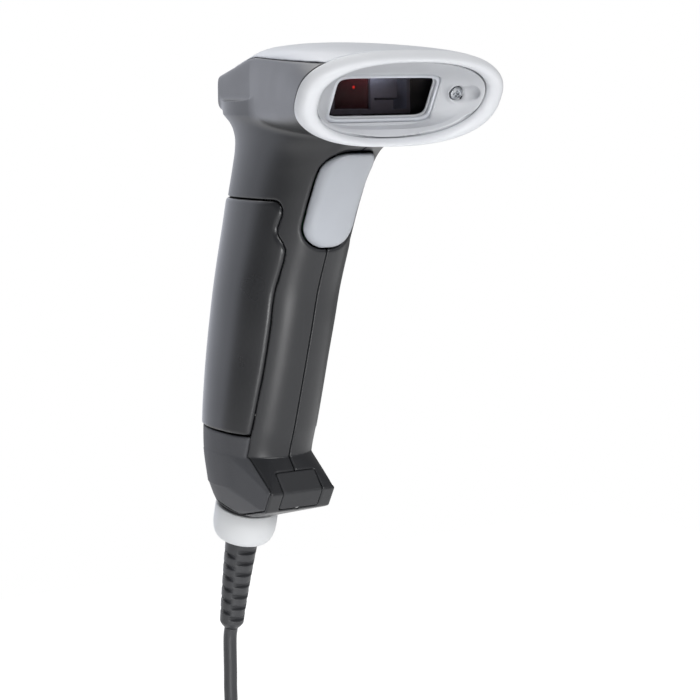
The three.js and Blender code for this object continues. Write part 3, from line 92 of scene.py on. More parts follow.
# Clearances, walls and the widths over which surfaces that meet are rounded
GAP = 0.0003
TRIGGER_GAP = 0.0003
FINE_GAP = 0.0001
WALL = 0.002
EDGE = 0.0006
SOFT = {
    "head_end": 0.0016, "head_grip": 0.0022, "grip_base": 0.0004, "crease": 0.0015, "pocket": 0.0018,
    "trigger": 0.0022, "root": 0.0003, "cover": 0.0016, "groove": 0.0005, "pad": 0.0008, "recess": 0.0005,
    "boss": 0.0012, "scoop": 0.0007, "screw": 0.0004, "cross": 0.0002, "latch": 0.0001,
}

# Grip: height, front, rear and half width of each section, as shares of its length, depth and half width
GRIP_ROUNDNESS = 2.4
GRIP_TOP = 0.082
GRIP_SECTION_SHARES = [
    (0.775, -0.82, 0.77, 1.12),
    (0.745, -0.81, 0.695, 1.06),
    (0.7, -0.76, 0.645, 1.02),
    (0.66, -0.635, 0.64, 1.0),
    (0.6, -0.52, 0.665, 0.995),
    (0.5, -0.395, 0.72, 1.0),
    (0.4, -0.298, 0.775, 1.0),
    (0.32, -0.226, 0.823, 1.0),
    (0.2, -0.124, 0.884, 1.012),
    (0.08, -0.052, 0.944, 1.006),
    (-0.04, 0.022, 0.998, 0.994),
    (-0.16, 0.098, 1.034, 0.994),
    (-0.28, 0.176, 1.056, 0.988),
    (-0.395, 0.25, 1.052, 0.965),
]

# Head: tilted seam behind the bumper, crease, and the narrow rear end
TILT = math.radians(27)
NOSE = (-0.0517, 0.08465)
SEAM = {"half": 0.0382, "up": 0.0151, "down": 0.0166, "power": 2.5}
HEAD_BULGE = 0.0016
PAST_REAR = 1.3
LEAST_HALF = 0.001
HEAD_LOW = 0.05
CREASE = {"y": 0.0047, "z": 0.086, "half": 0.019, "up": 0.0146, "down": 0.0118, "power": 5, "edge": 0.0104}
REAR = {"y": 0.0395, "z": 0.0846, "half": 0.01, "up": 0.0067, "down": 0.0063, "power": 5, "edge": 0.006}
COVER_EDGE = {"front": 0.0942, "crease": 0.0964, "rear": 0.0906, "rear_y": 0.036}

# Housing: thinner wall behind the nose, and the floor that the foot keeps
THIN_WALL = {"from": -0.014, "to": -0.009, "share": 0.5}
FOOT_FLOOR = {"below": -0.03, "level": -0.034}

# Nose: bumper ring, mouth, recess and window
BUMPER = {"half": 0.0387, "up": 0.0151, "down": 0.0169, "power": 2.55}
MOUTH = {"half": 0.0323, "up": 0.0125, "down": 0.0147, "power": 2.3}
BUMPER_DEPTH = 0.0054
# Cross-section of the ring: share of the way to the mouth, and share of its depth
BUMPER_SECTION_SHARES = [
    (0.02, 0), (0, 0.24), (0.03, 0.52), (0.14, 0.78), (0.34, 0.95), (0.6, 1),
    (0.84, 0.9), (1, 0.68), (1, 0.335), (0.72, 0.335), (0.66, 0),
]
RIM_DEPTH = 0.0032
RIM_GAP = 1.5 * GAP
RECESS_STEP = {"half": 0.0282, "up": 0.011, "down": 0.0109, "power": 2.9, "centre": -0.0021}
RECESS_STEP_DEPTH = 0.0005
RECESS_WALL = 0.0022
RECESS_SKIN = 0.0008
RECESS_END = 0.0009
RECESS_FRONT = 0.0014
RIM_BACK = 0.0005
SEAT_RISE = 0.0005
BASE_RISE = 0.001
BACK_START = -0.0002
INNER_SHARE = 0.7
FLANGE = {"share": 0.74, "place": 0.0008, "half": 0.0006}
OPENING = {"half": 0.0192, "up": 0.0072, "down": 0.0072, "power": 9, "centre": -0.0053}
OPENING_DEPTH = 0.0077
FRAME_WIDTH = 0.0011
FRAME_THICKNESS = 0.0015
FRAME_EDGE = 0.0004
FRAME_FLAT_SHARE = 0.6
SCREW_PLACE = (0.0254, -0.002)
SCREW_HEAD = (0.00215, 0.0015)
SCREW_SHANK = 0.001
SCREW_PROUD = 0.0005
SCREW_DOME = 0.006
SCREW_END = 0.0118
SCREW_ROOM = np.array([(0.0035, 0.004, 0.008), (0.0035, 0.0125, 0.008)])
SCREW_CROSS = {"half": 0.0004, "reach": 0.0013, "depth_share": 0.4}
BOSS_RADIUS = 0.0028
BOSS_HEIGHT = 0.0055
SCOOP_RADIUS = 0.0027
SCOOP_FLOOR = -0.0031
SCOOP_RUN = (0.0036, 0.0018, 0.0006)
SCOOP_TAPER = 0.15
SCOOP_WALL = 0.0012

# Trigger and its pin
TRIGGER = {"half": 0.0094, "top": 0.0656, "bottom": 0.0342, "corner": 0.0081, "top_corner": 0.0055}
TRIGGER_PROUD = 0.0011
TRIGGER_THICKNESS = 0.0034
PIVOT = (-0.017, 0.0605)
PIVOT_BOSS = {"radius": 0.0021, "half": 0.0056, "bore": 0.0013}
SPRING_SLOT = {"half": 0.0018, "height": 0.008, "end": 0.01}
POST = {"height": 0.0475, "radius": 0.0016, "end": -0.013}
TRIGGER_ROOT = 0.0011
TRIGGER_BACK = -0.004
POCKET_BACK = -0.002

# Rear grip cover: heights, and its front edge as height share and setback share
REAR_COVER = {"top": 0.0498, "bottom": -0.0308, "rise": 0.0026, "proud": 0.00045, "thickness": 0.0019}
REAR_COVER_REACH = 0.075
REAR_COVER_CORNER = 0.0055
REAR_COVER_EDGE_SHARES = [
    (0.53, 0.21), (0.46, 0.213), (0.43, 0.22), (0.405, 0.222), (0.385, 0.205), (0.362, 0.165), (0.34, 0.138),
    (0.31, 0.13), (0.26, 0.131), (0.2, 0.136),
    (0.08, 0.132), (-0.06, 0.13), (-0.18, 0.132), (-0.308, 0.136), (-0.36, 0.138),
]

# Foot, neck and pad
FOOT = {"front": 0.0039, "ridge": -0.0491, "low_y": 0.0077, "low_z": -0.0559, "half": 0.0129}
WAIST = (-0.0495, 0.0095, 0.0516, 0.0154)
WAIST_SETBACK = 0.002
FLARE_HEIGHT = -0.0382
NECK = (0.0394, -0.0586)
NECK_RADIUS = 0.011
LEAN = math.radians(16.5)
GROOVE = (0.0015, 0.0099)
GROOVE_REACH = 0.0165
SPIGOT = {"end": 0.0047, "root": 0.004, "core_end": 0.0002, "bore": 0.009}
LOWER_COVER = {"side": 0.0068, "shoulder": -0.038, "ridge": (0.00135, 0.00045), "low": 0.0009, "rear": 0.03}
PAD = {"half": 0.0078, "back": (0.0094, -0.0431), "thickness": 0.0022, "overrun": 0.002, "inset": 0.0008}
# Corners of the pad beyond the foot's, as shares of the overrun and of the pad's thickness
PAD_CORNER_SHARES = {"low": 0.3, "toe": (0.9, 0.4), "ridge": (1.4, 0.1)}
# Normals that tell the slope, the front and the underside of the foot from its other faces
FOOT_NORMALS = {"slope_up": 0.5, "slope_front": -0.4, "front": 0.98, "under": -0.75}
ROUND_POINTS = 72
BASE_MIDDLE = (0, 0.03, -0.048)

# Collar, strain relief and lead
COLLAR = {
    "radius": 0.0111, "height": 0.0126, "straight": 0.006, "mouth": 0.0064, "spigot": 0.0087, "floor": 0.005,
}
COLLAR_TURN = math.radians(81)
COLLAR_POINTS = 128
RELIEF = {"top": 0.0058, "end": 0.00415, "length": 0.035, "chamfer": 0.0022, "chamfer_power": 1.5}
RELIEF_ROOT = {"start": -0.0077, "flange": 0.0074, "thickness": 0.002, "edge": 0.0002}
RELIEF_SAMPLES = 420
RELIEF_END_LEAN = math.radians(11)
RELIEF_SLOTS = {
    "count": 13, "width": 0.0015, "depth": 0.0015, "first": 0.004, "pitch": 0.002, "edge": 0.0003,
}
CORD = 0.0048
HANK = {
    "loops": 8, "layers": 4, "end": 0.01, "waist": 0.0036, "half": 0.038, "spacing": 0.006, "drop": 0.214,
}
HANK_RUN_SHARE = 0.55
HANK_CLIMB_SHARE = 0.25
LEAD_ROUTE_SHARES = [
    (0, 0.16), (0, 0.27), (0.04, 0.38), (0.3, 0.48), (0.7, 0.58), (0.96, 0.68), (1, 0.78), (1, 0.89),
]
HANK_TAIL = 0.034
TIE = {"thickness": 0.0012, "height": 0.009, "power": 6, "slack": 0.0012, "rounding": 0.0004}

# Plug sections: distance from the cable, half width, half thickness and roundness
PLUG_SECTIONS = [
    (0, 0.00304, 0.00304, 2), (0.004, 0.0034, 0.0034, 2), (0.009, 0.0038, 0.0038, 2.2),
    (0.0109, 0.00675, 0.003425, 4), (0.0128, 0.0077, 0.0039, 5), (0.0213, 0.0074, 0.0036, 5),
    (0.03, 0.0077, 0.0039, 5), (0.0326, 0.0076, 0.0038, 5), (0.033, 0.0073, 0.0035, 5),
]
PLUG_SHELL = {
    "half": 0.006, "thick": 0.00225, "corner": 0.0008, "wall": 0.00035, "root": 0.004, "out": 0.0155,
}
PLUG_LATCH = {"across": 0.0026, "drop": 0.0085, "half": 0.00125}
PLUG_ROOM = (0.007, 0.003, 0.005, 0.0165)

# Camera of the photograph
CAMERA_PLACE = (-0.4285, -0.6367, 0.0914)
CAMERA_TURN = math.radians(34.97)
CAMERA_DIP = math.radians(6.85)
CAMERA_ROLL = math.radians(-0.48)
CAMERA_LENS = 119.2
SENSOR_WIDTH = 36

# Strength of the air round the object, and the lamps: name, place, aim, width and height, watts and colour
AIR_LEVEL = 0.22
LAMPS = [
    ("lamp_behind", (-0.15, 1.35, 0.1), (0, 0, 0), (1.75, 1.6), 11, "#eef2ff"),
    ("lamp_low_front", (-0.3, -0.43, -0.27), (0, 0, 0.02), (0.2, 0.16), 1.1, "#ffffff"),
    ("lamp_front", (-0.1, -1.7, 0.9), (0, 0, 0.05), (1.2, 1.0), 24, "#ffffff"),
    ("lamp_above", (0.1, 0.75, 1.1), (0, 0, 0.05), (0.9, 0.9), 8.5, "#ffffff"),
    ("lamp_in_head", (-0.004, -0.0365, 0.0935), (0, -0.024, 0.084), (0.03, 0.004), 0.01, "#dce8ff"),
]

# Floor: half width, place under the lowest point, and its own light with the share that the eye sees
FLOOR = {"reach": 1.0, "drop": 0.0005, "strength": 1.25, "share": 0.8}


# Distance fields


def smooth_max(a, b, soft):
    """Larger of two distances, with the edge between the surfaces rounded."""
    share = np.maximum(soft - np.abs(a - b), 0) / soft
    return np.maximum(a, b) + share * share * soft / 4


def smooth_min(a, b, soft):
    return -smooth_max(-a, -b, soft)


def true_distance(field, p, reach=2e-5):
    """Field divided by its slope, which is close to a distance near the surface."""
    x, y, z = p
    value = field(x, y, z)
    slope = (field(x + reach, y, z) - value) ** 2
    slope += (field(x, y + reach, z) - value) ** 2
    slope += (field(x, y, z + reach) - value) ** 2
    return value / np.maximum(np.sqrt(slope) / reach, 1e-6)


def smooth_table(rows, samples=500):
    """Dense stations and values of the smooth curves through rows that start with their station."""
    rows = np.array(sorted(rows), dtype=float)
    stations, values = rows[:, 0], rows[:, 1:]
    slopes = np.gradient(values, stations, axis=0)
    at = np.linspace(stations[0], stations[-1], samples)
    i = np.clip(np.searchsorted(stations, at, side="right") - 1, 0, len(stations) - 2)
    span = (stations[i + 1] - stations[i])[:, None]
    t = (at[:, None] - stations[i][:, None]) / span
    near = values[i] * (1 + 2 * t) * (1 - t) ** 2 + slopes[i] * span * t * (1 - t) ** 2
    far = values[i + 1] * t * t * (3 - 2 * t) + slopes[i + 1] * span * t * t * (t - 1)
    return at, (near + far).T


def oval(a, b, power):
    """Size of the rounded section through a point, where 1 is the section itself."""
    return (np.abs(a) ** power + np.abs(b) ** power + 1e-12) ** (1 / power)


def box_distance(p, low, high):
    parts = [np.maximum(low[i] - p[i], p[i] - high[i]) for i in range(3)]
    return np.maximum(np.maximum(parts[0], parts[1]), parts[2])


def inside_lines(y, z, corners):
    """Distance to a closed outline in the side view."""
    corners = np.array(corners)
    least = np.full(y.shape, np.inf)
    inside = np.zeros(y.shape, dtype=bool)
    for (ay, az), (by, bz) in zip(corners, np.roll(corners, -1, axis=0)):
        ey, ez = by - ay, bz - az
        share = np.clip(((y - ay) * ey + (z - az) * ez) / (ey * ey + ez * ez), 0, 1)
        least = np.minimum(least, np.hypot(y - ay - share * ey, z - az - share * ez))
        if az != bz:
            crossing = (az > z) != (bz > z)
            inside ^= crossing & (y < ay + ey * (z - az) / ez)
    return np.where(inside, -least, least)


# Skin over a distance field, one vertex in each cell that the surface crosses. Cells come in blocks, and a
# block is kept where its middle lies within a share of its width from the surface.
BLOCK = 8
BLOCK_REACH_SHARE = 1.15
BLOCKS_AT_ONCE = 400

# Least square of a slope, which keeps a point in place where a field is nearly flat
LEAST_STEEPNESS = 0.2


def skin(distance, low, high, step):
    """Vertices and outward quads of the surface where a distance is zero."""
    low = np.array(low, dtype=float) - step
    count = np.ceil((np.array(high) + step - low) / (step * BLOCK)).astype(int)
    size = count * BLOCK
    blocks = np.stack(np.meshgrid(*map(np.arange, count), indexing="ij"), -1).reshape(-1, 3)
    middles = low + (blocks + 0.5) * step * BLOCK
    blocks = blocks[np.abs(distance(*middles.T)) < step * BLOCK * BLOCK_REACH_SHARE]
    corner = np.stack(np.meshgrid(*[np.arange(BLOCK + 1)] * 3, indexing="ij"), -1)
    ids, points, quads = [], [], []
    ways = np.eye(3, dtype=int)
    for some in np.array_split(blocks, len(blocks) // BLOCKS_AT_ONCE + 1):
        grid = some[:, None, None, None, :] * BLOCK + corner
        values = distance(*np.moveaxis(low + grid * step, -1, 0))
        inside = values < 0
        total = np.zeros((len(some),) + (BLOCK,) * 3, dtype=int)
        for dx, dy, dz in np.ndindex(2, 2, 2):
            total += inside[:, dx:dx + BLOCK, dy:dy + BLOCK, dz:dz + BLOCK]
        b, i, j, k = np.nonzero((total > 0) & (total < 8))
        cell = np.stack([i, j, k], 1)
        crossing_sum = np.zeros((len(b), 3))
        crossings = np.zeros(len(b))
        for axis in range(3):
            for u, v in np.ndindex(2, 2):
                start = ways[(axis + 1) % 3] * u + ways[(axis + 2) % 3] * v
                first = values[(b, *(cell + start).T)]
                second = values[(b, *(cell + start + ways[axis]).T)]
                cut = (first < 0) != (second < 0)
                share = np.where(cut, first / np.where(cut, first - second, 1), 0)
                crossing_sum += np.where(cut[:, None], start + share[:, None] * ways[axis], 0)
                crossings += cut
        spot = some[b] * BLOCK + cell
        ids.append((spot[:, 0] * size[1] + spot[:, 1]) * size[2] + spot[:, 2])
        points.append(low + (spot + crossing_sum / crossings[:, None]) * step)
        for axis in range(3):
            u, v = ways[(axis + 1) % 3], ways[(axis + 2) % 3]
            ahead = tuple(slice(way, way + BLOCK) for way in ways[axis])
            here = inside[:, :BLOCK, :BLOCK, :BLOCK]
            there = inside[(slice(None), *ahead)]
            b, i, j, k = np.nonzero(here != there)
            spot = some[b] * BLOCK + np.stack([i, j, k], 1)
            ring = np.stack([spot, spot - u, spot - u - v, spot - v], 1)
            outward = here[b, i, j, k]
            ring = np.where(outward[:, None, None], ring, ring[:, ::-1])
            quads.append((ring[..., 0] * size[1] + ring[..., 1]) * size[2] + ring[..., 2])
    ids, points, quads = np.concatenate(ids), np.concatenate(points), np.concatenate(quads)
    order = np.argsort(ids)
    found = np.searchsorted(ids[order], quads)
    quads = order[np.minimum(found, len(order) - 1)]
    return settle(distance, points, step), quads


def settle(distance, points, step):
    """Points moved onto the surface along the slope of the distance."""
    reach = step / 20
    value = distance(*points.T)
    slope = np.stack([distance(*(points + reach * way).T) - value for way in np.eye(3)], 1) / reach
    steepness = np.maximum((slope ** 2).sum(1), LEAST_STEEPNESS)
    return points - slope * np.clip(value / steepness, -step / 2, step / 2)[:, None]


# Meshes


def place_object(name, data):
    """Object over a mesh, curve, lamp or camera, linked into the scene."""
    made = bpy.data.objects.new(name, data)
    bpy.context.scene.collection.objects.link(made)
    return made


def make_object(name, points, faces):
    mesh = bpy.data.meshes.new(name)
    mesh.from_pydata(np.asarray(points).tolist(), [], np.asarray(faces).tolist())
    mesh.update()
    mesh.shade_smooth()
    return place_object(name, mesh)


def cell(fine, coarse=QUICK_CELL):
    return fine


def carve(name, distance, step, room=None, most=190000):
    """Object over a distance field inside a box, thinned where it has more triangles than it may."""
    points, quads = skin(distance, *(room or ROOMS[name]), step)
    made = make_object(name, points, quads)
    thin_out(made, most)
    return made


def thin_out(made, most):
    triangles = sum(len(polygon.vertices) - 2 for polygon in made.data.polygons)
    if triangles > most:
        thinner = made.modifiers.new("thinner", "DECIMATE")
        thinner.ratio = most / triangles
        bake(made)


def bake(made):
    """The object's evaluated mesh takes the place of its mesh and modifiers."""
    graph = bpy.context.evaluated_depsgraph_get()
    mesh = bpy.data.meshes.new_from_object(made.evaluated_get(graph))
    made.modifiers.clear()
    made.data = mesh
    mesh.name = made.name
    mesh.shade_smooth()


def mirrored(name, source):
    """Copy of an object on the other side of the middle plane, its faces turned back outwards."""
    mesh = source.data.copy()
    mesh.transform(Matrix.Scale(-1, 4, (1, 0, 0)))
    mesh.flip_normals()
    mesh.name = name
    return place_object(name, mesh)


def loft(name, rings, loop=False):
    """Object over rings of points. An open run of rings is closed by a fan at each end."""
    rings = np.array(rings, dtype=float)
    count, around = rings.shape[:2]
    points = rings.reshape(-1, 3).tolist()
    faces = []
    for i in range(count if loop else count - 1):
        near, far = i * around, (i + 1) % count * around
        for j in range(around):
            k = (j + 1) % around
            faces.append((near + j, near + k, far + k, far + j))
    if not loop:
        for ring, first in ((rings[0], 0), (rings[-1], (count - 1) * around)):
            points.append(ring.mean(0).tolist())
            middle = len(points) - 1
            for j in range(around):
                k = (j + 1) % around
                faces.append((first + j, first + k, middle) if first else (first + k, first + j, middle))
    mesh = bpy.data.meshes.new(name)
    mesh.from_pydata(points, [], faces)
    solid = bmesh.new()
    solid.from_mesh(mesh)
    bmesh.ops.remove_doubles(solid, verts=solid.verts, dist=1e-7)
    bmesh.ops.recalc_face_normals(solid, faces=solid.faces)
    solid.to_mesh(mesh)
    solid.free()
    mesh.shade_smooth()
    return place_object(name, mesh)


def curve_object(name, line):
    """Object over a curve that runs straight from point to point, and its spline."""
    data = bpy.data.curves.new(name, "CURVE")
    data.dimensions = "3D"
    spline = data.splines.new("POLY")
    spline.points.add(len(line) - 1)
    spline.points.foreach_set("co", np.column_stack([line, np.ones(len(line))]).ravel())
    return place_object(name, data), spline


def unit_oval(power, count):
    angle = np.linspace(0, 2 * math.pi, count, endpoint=False)
    c, s = np.cos(angle), np.sin(angle)
    return np.sign(c) * np.abs(c) ** (2 / power), np.sign(s) * np.abs(s) ** (2 / power)


def rounded(corners, passes=3):
    """Closed outline with its corners cut again and again, which leaves a smooth curve."""
    line = np.array(corners, dtype=float)
    for _ in range(passes):
        ahead = np.roll(line, -1, axis=0)
        line = np.stack([line * 0.75 + ahead * 0.25, line * 0.25 + ahead * 0.75], 1)
        line = line.reshape(-1, line.shape[2])
    return line


def smooth_line(points, parts):
    """Points on the smooth curve through a list of places, a number of parts to each span."""
    points = np.array(points, dtype=float)
    before = np.vstack([2 * points[0] - points[1], points[:-1]])
    after = np.vstack([points[1:], 2 * points[-1] - points[-2]])
    slopes = (after - before) / 2
    line = []
    for i in range(len(points) - 1):
        for t in np.linspace(0, 1, parts, endpoint=False):
            near = points[i] * (1 + 2 * t) * (1 - t) ** 2 + slopes[i] * t * (1 - t) ** 2
            line.append(near + points[i + 1] * t * t * (3 - 2 * t) + slopes[i + 1] * t * t * (t - 1))
    line.append(points[-1])
    return np.array(line)


# Frame of the nose: x across, t up the tilted mouth, w out of it
ALONG_T = np.array([0, -math.sin(TILT), math.cos(TILT)])
OUTWARD = np.array([0, -math.cos(TILT), -math.sin(TILT)])
NOSE_CENTRE = np.array([0, *NOSE])


def nose_point(x, t, w):
    across = np.multiply.outer(x, [1, 0, 0])
    return NOSE_CENTRE + np.multiply.outer(t, ALONG_T) + np.multiply.outer(w, OUTWARD) + across


def nose_frame(x, y, z):
    t = (y - NOSE[0]) * ALONG_T[1] + (z - NOSE[1]) * ALONG_T[2]
    w = (y - NOSE[0]) * OUTWARD[1] + (z - NOSE[1]) * OUTWARD[2]
    return x, t, w


def nose_ring(outline, w, count=160):
    a, b = unit_oval(outline["power"], count)
    t = np.where(b > 0, b * outline["up"], b * outline["down"]) + outline.get("centre", 0)
    return nose_point(a * outline["half"], t, np.full(count, w))


def grown(outline, by):
    return {**outline, "half": outline["half"] + by, "up": outline["up"] + by, "down": outline["down"] + by}


def mixed(first, second, share):
    """Outline part of the way from one outline to another."""
    return {
        key: first.get(key, 0) + (second.get(key, 0) - first.get(key, 0)) * share for key in first | second
    }


OUTLINE_KEYS = ("half", "up", "down", "power", "centre")


def outline_size(x, t, values):
    """Size of the outline with these values, in the order of the keys, that runs through a point."""
    half, up, down, power, centre = values
    return oval(x / half, (t - centre) / np.where(t > centre, up, down), power)


def prism(outline):
    """Field of an outline that stays the same along w."""
    values = [outline.get(key, 0) for key in OUTLINE_KEYS]
    return lambda x, t, w: (outline_size(x, t, values) - 1) * values[1]


def tapered(*stages):
    """Field of a form whose outline changes from stage to stage, each with its place along w."""
    places = [place for place, _ in stages]

    def field(x, t, w):
        values = [np.interp(-w, places, [form.get(key, 0) for _, form in stages]) for key in OUTLINE_KEYS]
        return (outline_size(x, t, values) - 1) * values[1]

    return field


# Frame of the neck: down the lean, and back across it
NECK_CENTRE = np.array([0, *NECK])
NECK_DOWN = np.array([0, math.sin(LEAN), -math.cos(LEAN)])
NECK_BACK = np.array([0, math.cos(LEAN), math.sin(LEAN)])


def neck_point(distance):
    return NECK_CENTRE + distance * NECK_DOWN


# Forms of the shell


class Grip:
    """Grip of the scanner, a rounded section that changes smoothly with height."""

    def __init__(self, sizes):
        self.length, self.depth, self.half = sizes.grip_length, sizes.grip_depth, sizes.grip_half_width
        rows = [
            (height * self.length, front * self.depth, rear * self.depth, width * self.half)
            for height, front, rear, width in GRIP_SECTION_SHARES
        ]
        rows.append((WAIST[0], WAIST[1] + WAIST_SETBACK, WAIST[2], WAIST[3]))
        self.table = smooth_table(rows)
        edge = [
            (height * self.length, float(self.front(height * self.length)) + setback * self.depth)
            for height, setback in REAR_COVER_EDGE_SHARES
        ]
        self.cover_edge = smooth_table(edge)

    def front(self, z):
        return np.interp(z, self.table[0], self.table[1][0])

    def rear_and_half(self, z):
        return [np.interp(z, self.table[0], values) for values in self.table[1][1:]]

    def field(self, x, y, z):
        front, rear, half = (np.interp(z, self.table[0], values) for values in self.table[1])
        size = oval(x / half, (y - (front + rear) / 2) / ((rear - front) / 2), GRIP_ROUNDNESS)
        return (size - 1) * half

    def distance(self, x, y, z):
        side = true_distance(self.field, (x, y, z))
        return np.maximum(side, np.maximum(WAIST[0] - z, z - GRIP_TOP))

    def cover_region(self, y, z):
        """Distances in the side view to the rear cover's front and upper edge, and to its lower edge."""
        edge = np.interp(z, self.cover_edge[0], self.cover_edge[1][0]) - y
        low = REAR_COVER["bottom"] + REAR_COVER["rise"] * np.clip(y / REAR_COVER_REACH, 0, 1) - z
        high = z - REAR_COVER["top"]
        a, b = edge + REAR_COVER_CORNER, high + REAR_COVER_CORNER
        corner = np.minimum(np.maximum(a, b), 0) + np.hypot(np.maximum(a, 0), np.maximum(b, 0))
        return corner - REAR_COVER_CORNER, low


def head_field(x, y, z):
    """Field of the head: sections that lean with the mouth in front and stand upright from the crease."""
    length = CREASE["y"] - NOSE[0]
    rise = CREASE["z"] - NOSE[1]
    slope = math.tan(TILT)
    height = z - NOSE[1]
    share = (y - NOSE[0] + slope * height) / (length + slope * height)
    for _ in range(2):
        error = NOSE[0] + share * length - slope * (1 - share) * (height - share * rise) - y
        share = share - error / (length + slope * (height - share * rise) + slope * (1 - share) * rise)
    back = np.clip((y - CREASE["y"]) / (REAR["y"] - CREASE["y"]), 0, PAST_REAR)
    share = np.where(y > CREASE["y"], 1, np.minimum(share, 1))

    def size(key, front):
        first = front + (CREASE[key] - front) * share
        return first + (REAR[key] - CREASE[key]) * back

    upright = math.cos(TILT)
    level = size("z", NOSE[1])
    half = np.maximum(size("half", SEAM["half"]), LEAST_HALF)
    up, down = size("up", SEAM["up"] * upright), size("down", SEAM["down"] * upright)
    up = up + HEAD_BULGE * 4 * np.clip(share, 0, 1) * (1 - np.clip(share, 0, 1))
    edge = size("edge", SEAM["up"] * upright)
    power = np.maximum(size("power", SEAM["power"]), 2)
    rise = z - level
    side = (oval(x / half, rise / np.where(rise > 0, up, down), power) - 1) * down
    crown = rise - edge - (up - edge) * (1 - (x / half) ** 2)
    return smooth_max(side, crown, SOFT["crease"])


def head_distance(x, y, z):
    side = true_distance(head_field, (x, y, z))
    return smooth_max(side, y - REAR["y"], SOFT["head_end"])


def cover_edge_height(y):
    """Height of the lower edge of the top cover along the head."""
    first = COVER_EDGE["front"] + (COVER_EDGE["crease"] - COVER_EDGE["front"]) * (
        (y - NOSE[0]) / (CREASE["y"] - NOSE[0])
    )
    second = COVER_EDGE["crease"] + (COVER_EDGE["rear"] - COVER_EDGE["crease"]) * (
        (y - CREASE["y"]) / (REAR["y"] - CREASE["y"])
    )
    return smooth_min(first, second, SOFT["crease"])


def crown_region(y, z):
    """Distance in the side view to the place of the top cover."""
    return np.maximum(cover_edge_height(y) - z, y - COVER_EDGE["rear_y"])


class Base:
    """Foot and neck below the grip, a tight skin over its sections, the foot's corners and the neck."""

    def __init__(self, grip):
        top = (FLARE_HEIGHT, grip.front(FLARE_HEIGHT), *grip.rear_and_half(FLARE_HEIGHT))
        across, along = unit_oval(GRIP_ROUNDNESS, ROUND_POINTS)
        points = []
        for height, near, far, half in (top, WAIST):
            for a, b in zip(across, along):
                points.append((a * half, (near + far) / 2 + b * (far - near) / 2, height))
        for side in (-FOOT["half"], FOOT["half"]):
            points.append((side, FOOT["front"], FOOT["ridge"]))
            points.append((side, FOOT["low_y"], FOOT["low_z"]))
        for a, b in zip(*unit_oval(2, ROUND_POINTS)):
            points.append(NECK_CENTRE + NECK_RADIUS * (a * np.array([1, 0, 0]) + b * NECK_BACK))
        solid = bmesh.new()
        for point in points:
            solid.verts.new(point)
        bmesh.ops.convex_hull(solid, input=solid.verts)
        normals = []
        for face in solid.faces:
            face.normal_update()
            normal = face.normal.normalized()
            middle = face.calc_center_median()
            if normal.dot(middle - Vector(BASE_MIDDLE)) < 0:
                normal = -normal
            normals.append(tuple(normal))
        solid.free()
        normals = np.array(normals)
        offsets = (normals @ np.array(points).T).max(1)
        ridge = np.array([FOOT["front"], FOOT["ridge"]])
        low = np.array([FOOT["low_y"], FOOT["low_z"]])
        step = low - ridge
        front_way = np.array([0, step[1], -step[0]]) / np.hypot(*step)
        self.groups = [(normals[i], offsets[i]) for i in self.sorted_faces(normals, front_way)]

    def sorted_faces(self, normals, front_way):
        """Faces in the slope, the front, the underside and the rest, each group rounded to the next."""
        slope = normals[:, 2] > FOOT_NORMALS["slope_up"]
        slope &= normals[:, 1] < FOOT_NORMALS["slope_front"]
        front = normals @ front_way > FOOT_NORMALS["front"]
        under = (normals[:, 2] < FOOT_NORMALS["under"]) & ~front
        rest = ~(slope | front | under)
        return [np.nonzero(group)[0] for group in (rest, slope, front, under) if group.any()]

    def distance(self, x, y, z):
        total = None
        for normals, offsets in self.groups:
            most = np.full(x.shape, -np.inf)
            for normal, offset in zip(normals, offsets):
                most = np.maximum(most, normal[0] * x + normal[1] * y + normal[2] * z - offset)
            total = most if total is None else smooth_max(total, most, EDGE)
        return total


def near_only(distance, low, high, margin=0.02):
    """The same distance, worked out only inside a box. Elsewhere it is the way to the box and a margin."""

    def limited(x, y, z):
        outside = np.maximum(
            np.maximum(np.maximum(low[0] - x, x - high[0]), np.maximum(low[1] - y, y - high[1])),
            np.maximum(low[2] - z, z - high[2]),
        )
        value = outside + margin
        inside = outside < 0
        value[inside] = distance(x[inside], y[inside], z[inside])
        return value

    return limited


class Shell:
    """Distances to the whole outside and to the pieces that are split from it."""

    def __init__(self, sizes):
        self.grip = Grip(sizes)
        self.base = Base(self.grip)
        self.wall = sizes.wall
        self.gap = sizes.seam_gap
        self.edge = sizes.edge_rounding
        self.grip_near = near_only(self.grip.distance, *ROOMS["grip"])
        self.head_near = near_only(head_distance, *ROOMS["head"])
        self.base_near = near_only(self.base.distance, *ROOMS["base"])

    def outside(self, x, y, z):
        upper = smooth_min(self.head_near(x, y, z), self.grip_near(x, y, z), SOFT["head_grip"])
        return smooth_min(upper, self.base_near(x, y, z), SOFT["grip_base"])


def trigger_outline(x, z, grow):
    """Distance in the front view to the outline of the trigger."""
    middle = (TRIGGER["top"] + TRIGGER["bottom"]) / 2
    corner = np.where(z > middle, TRIGGER["top_corner"], TRIGGER["corner"]) + grow
    half = (TRIGGER["top"] - TRIGGER["bottom"]) / 2 + grow
    a = np.abs(x) - (TRIGGER["half"] + grow) + corner
    b = np.abs(z - middle) - half + corner
    return np.minimum(np.maximum(a, b), 0) + np.hypot(np.maximum(a, 0), np.maximum(b, 0)) - corner


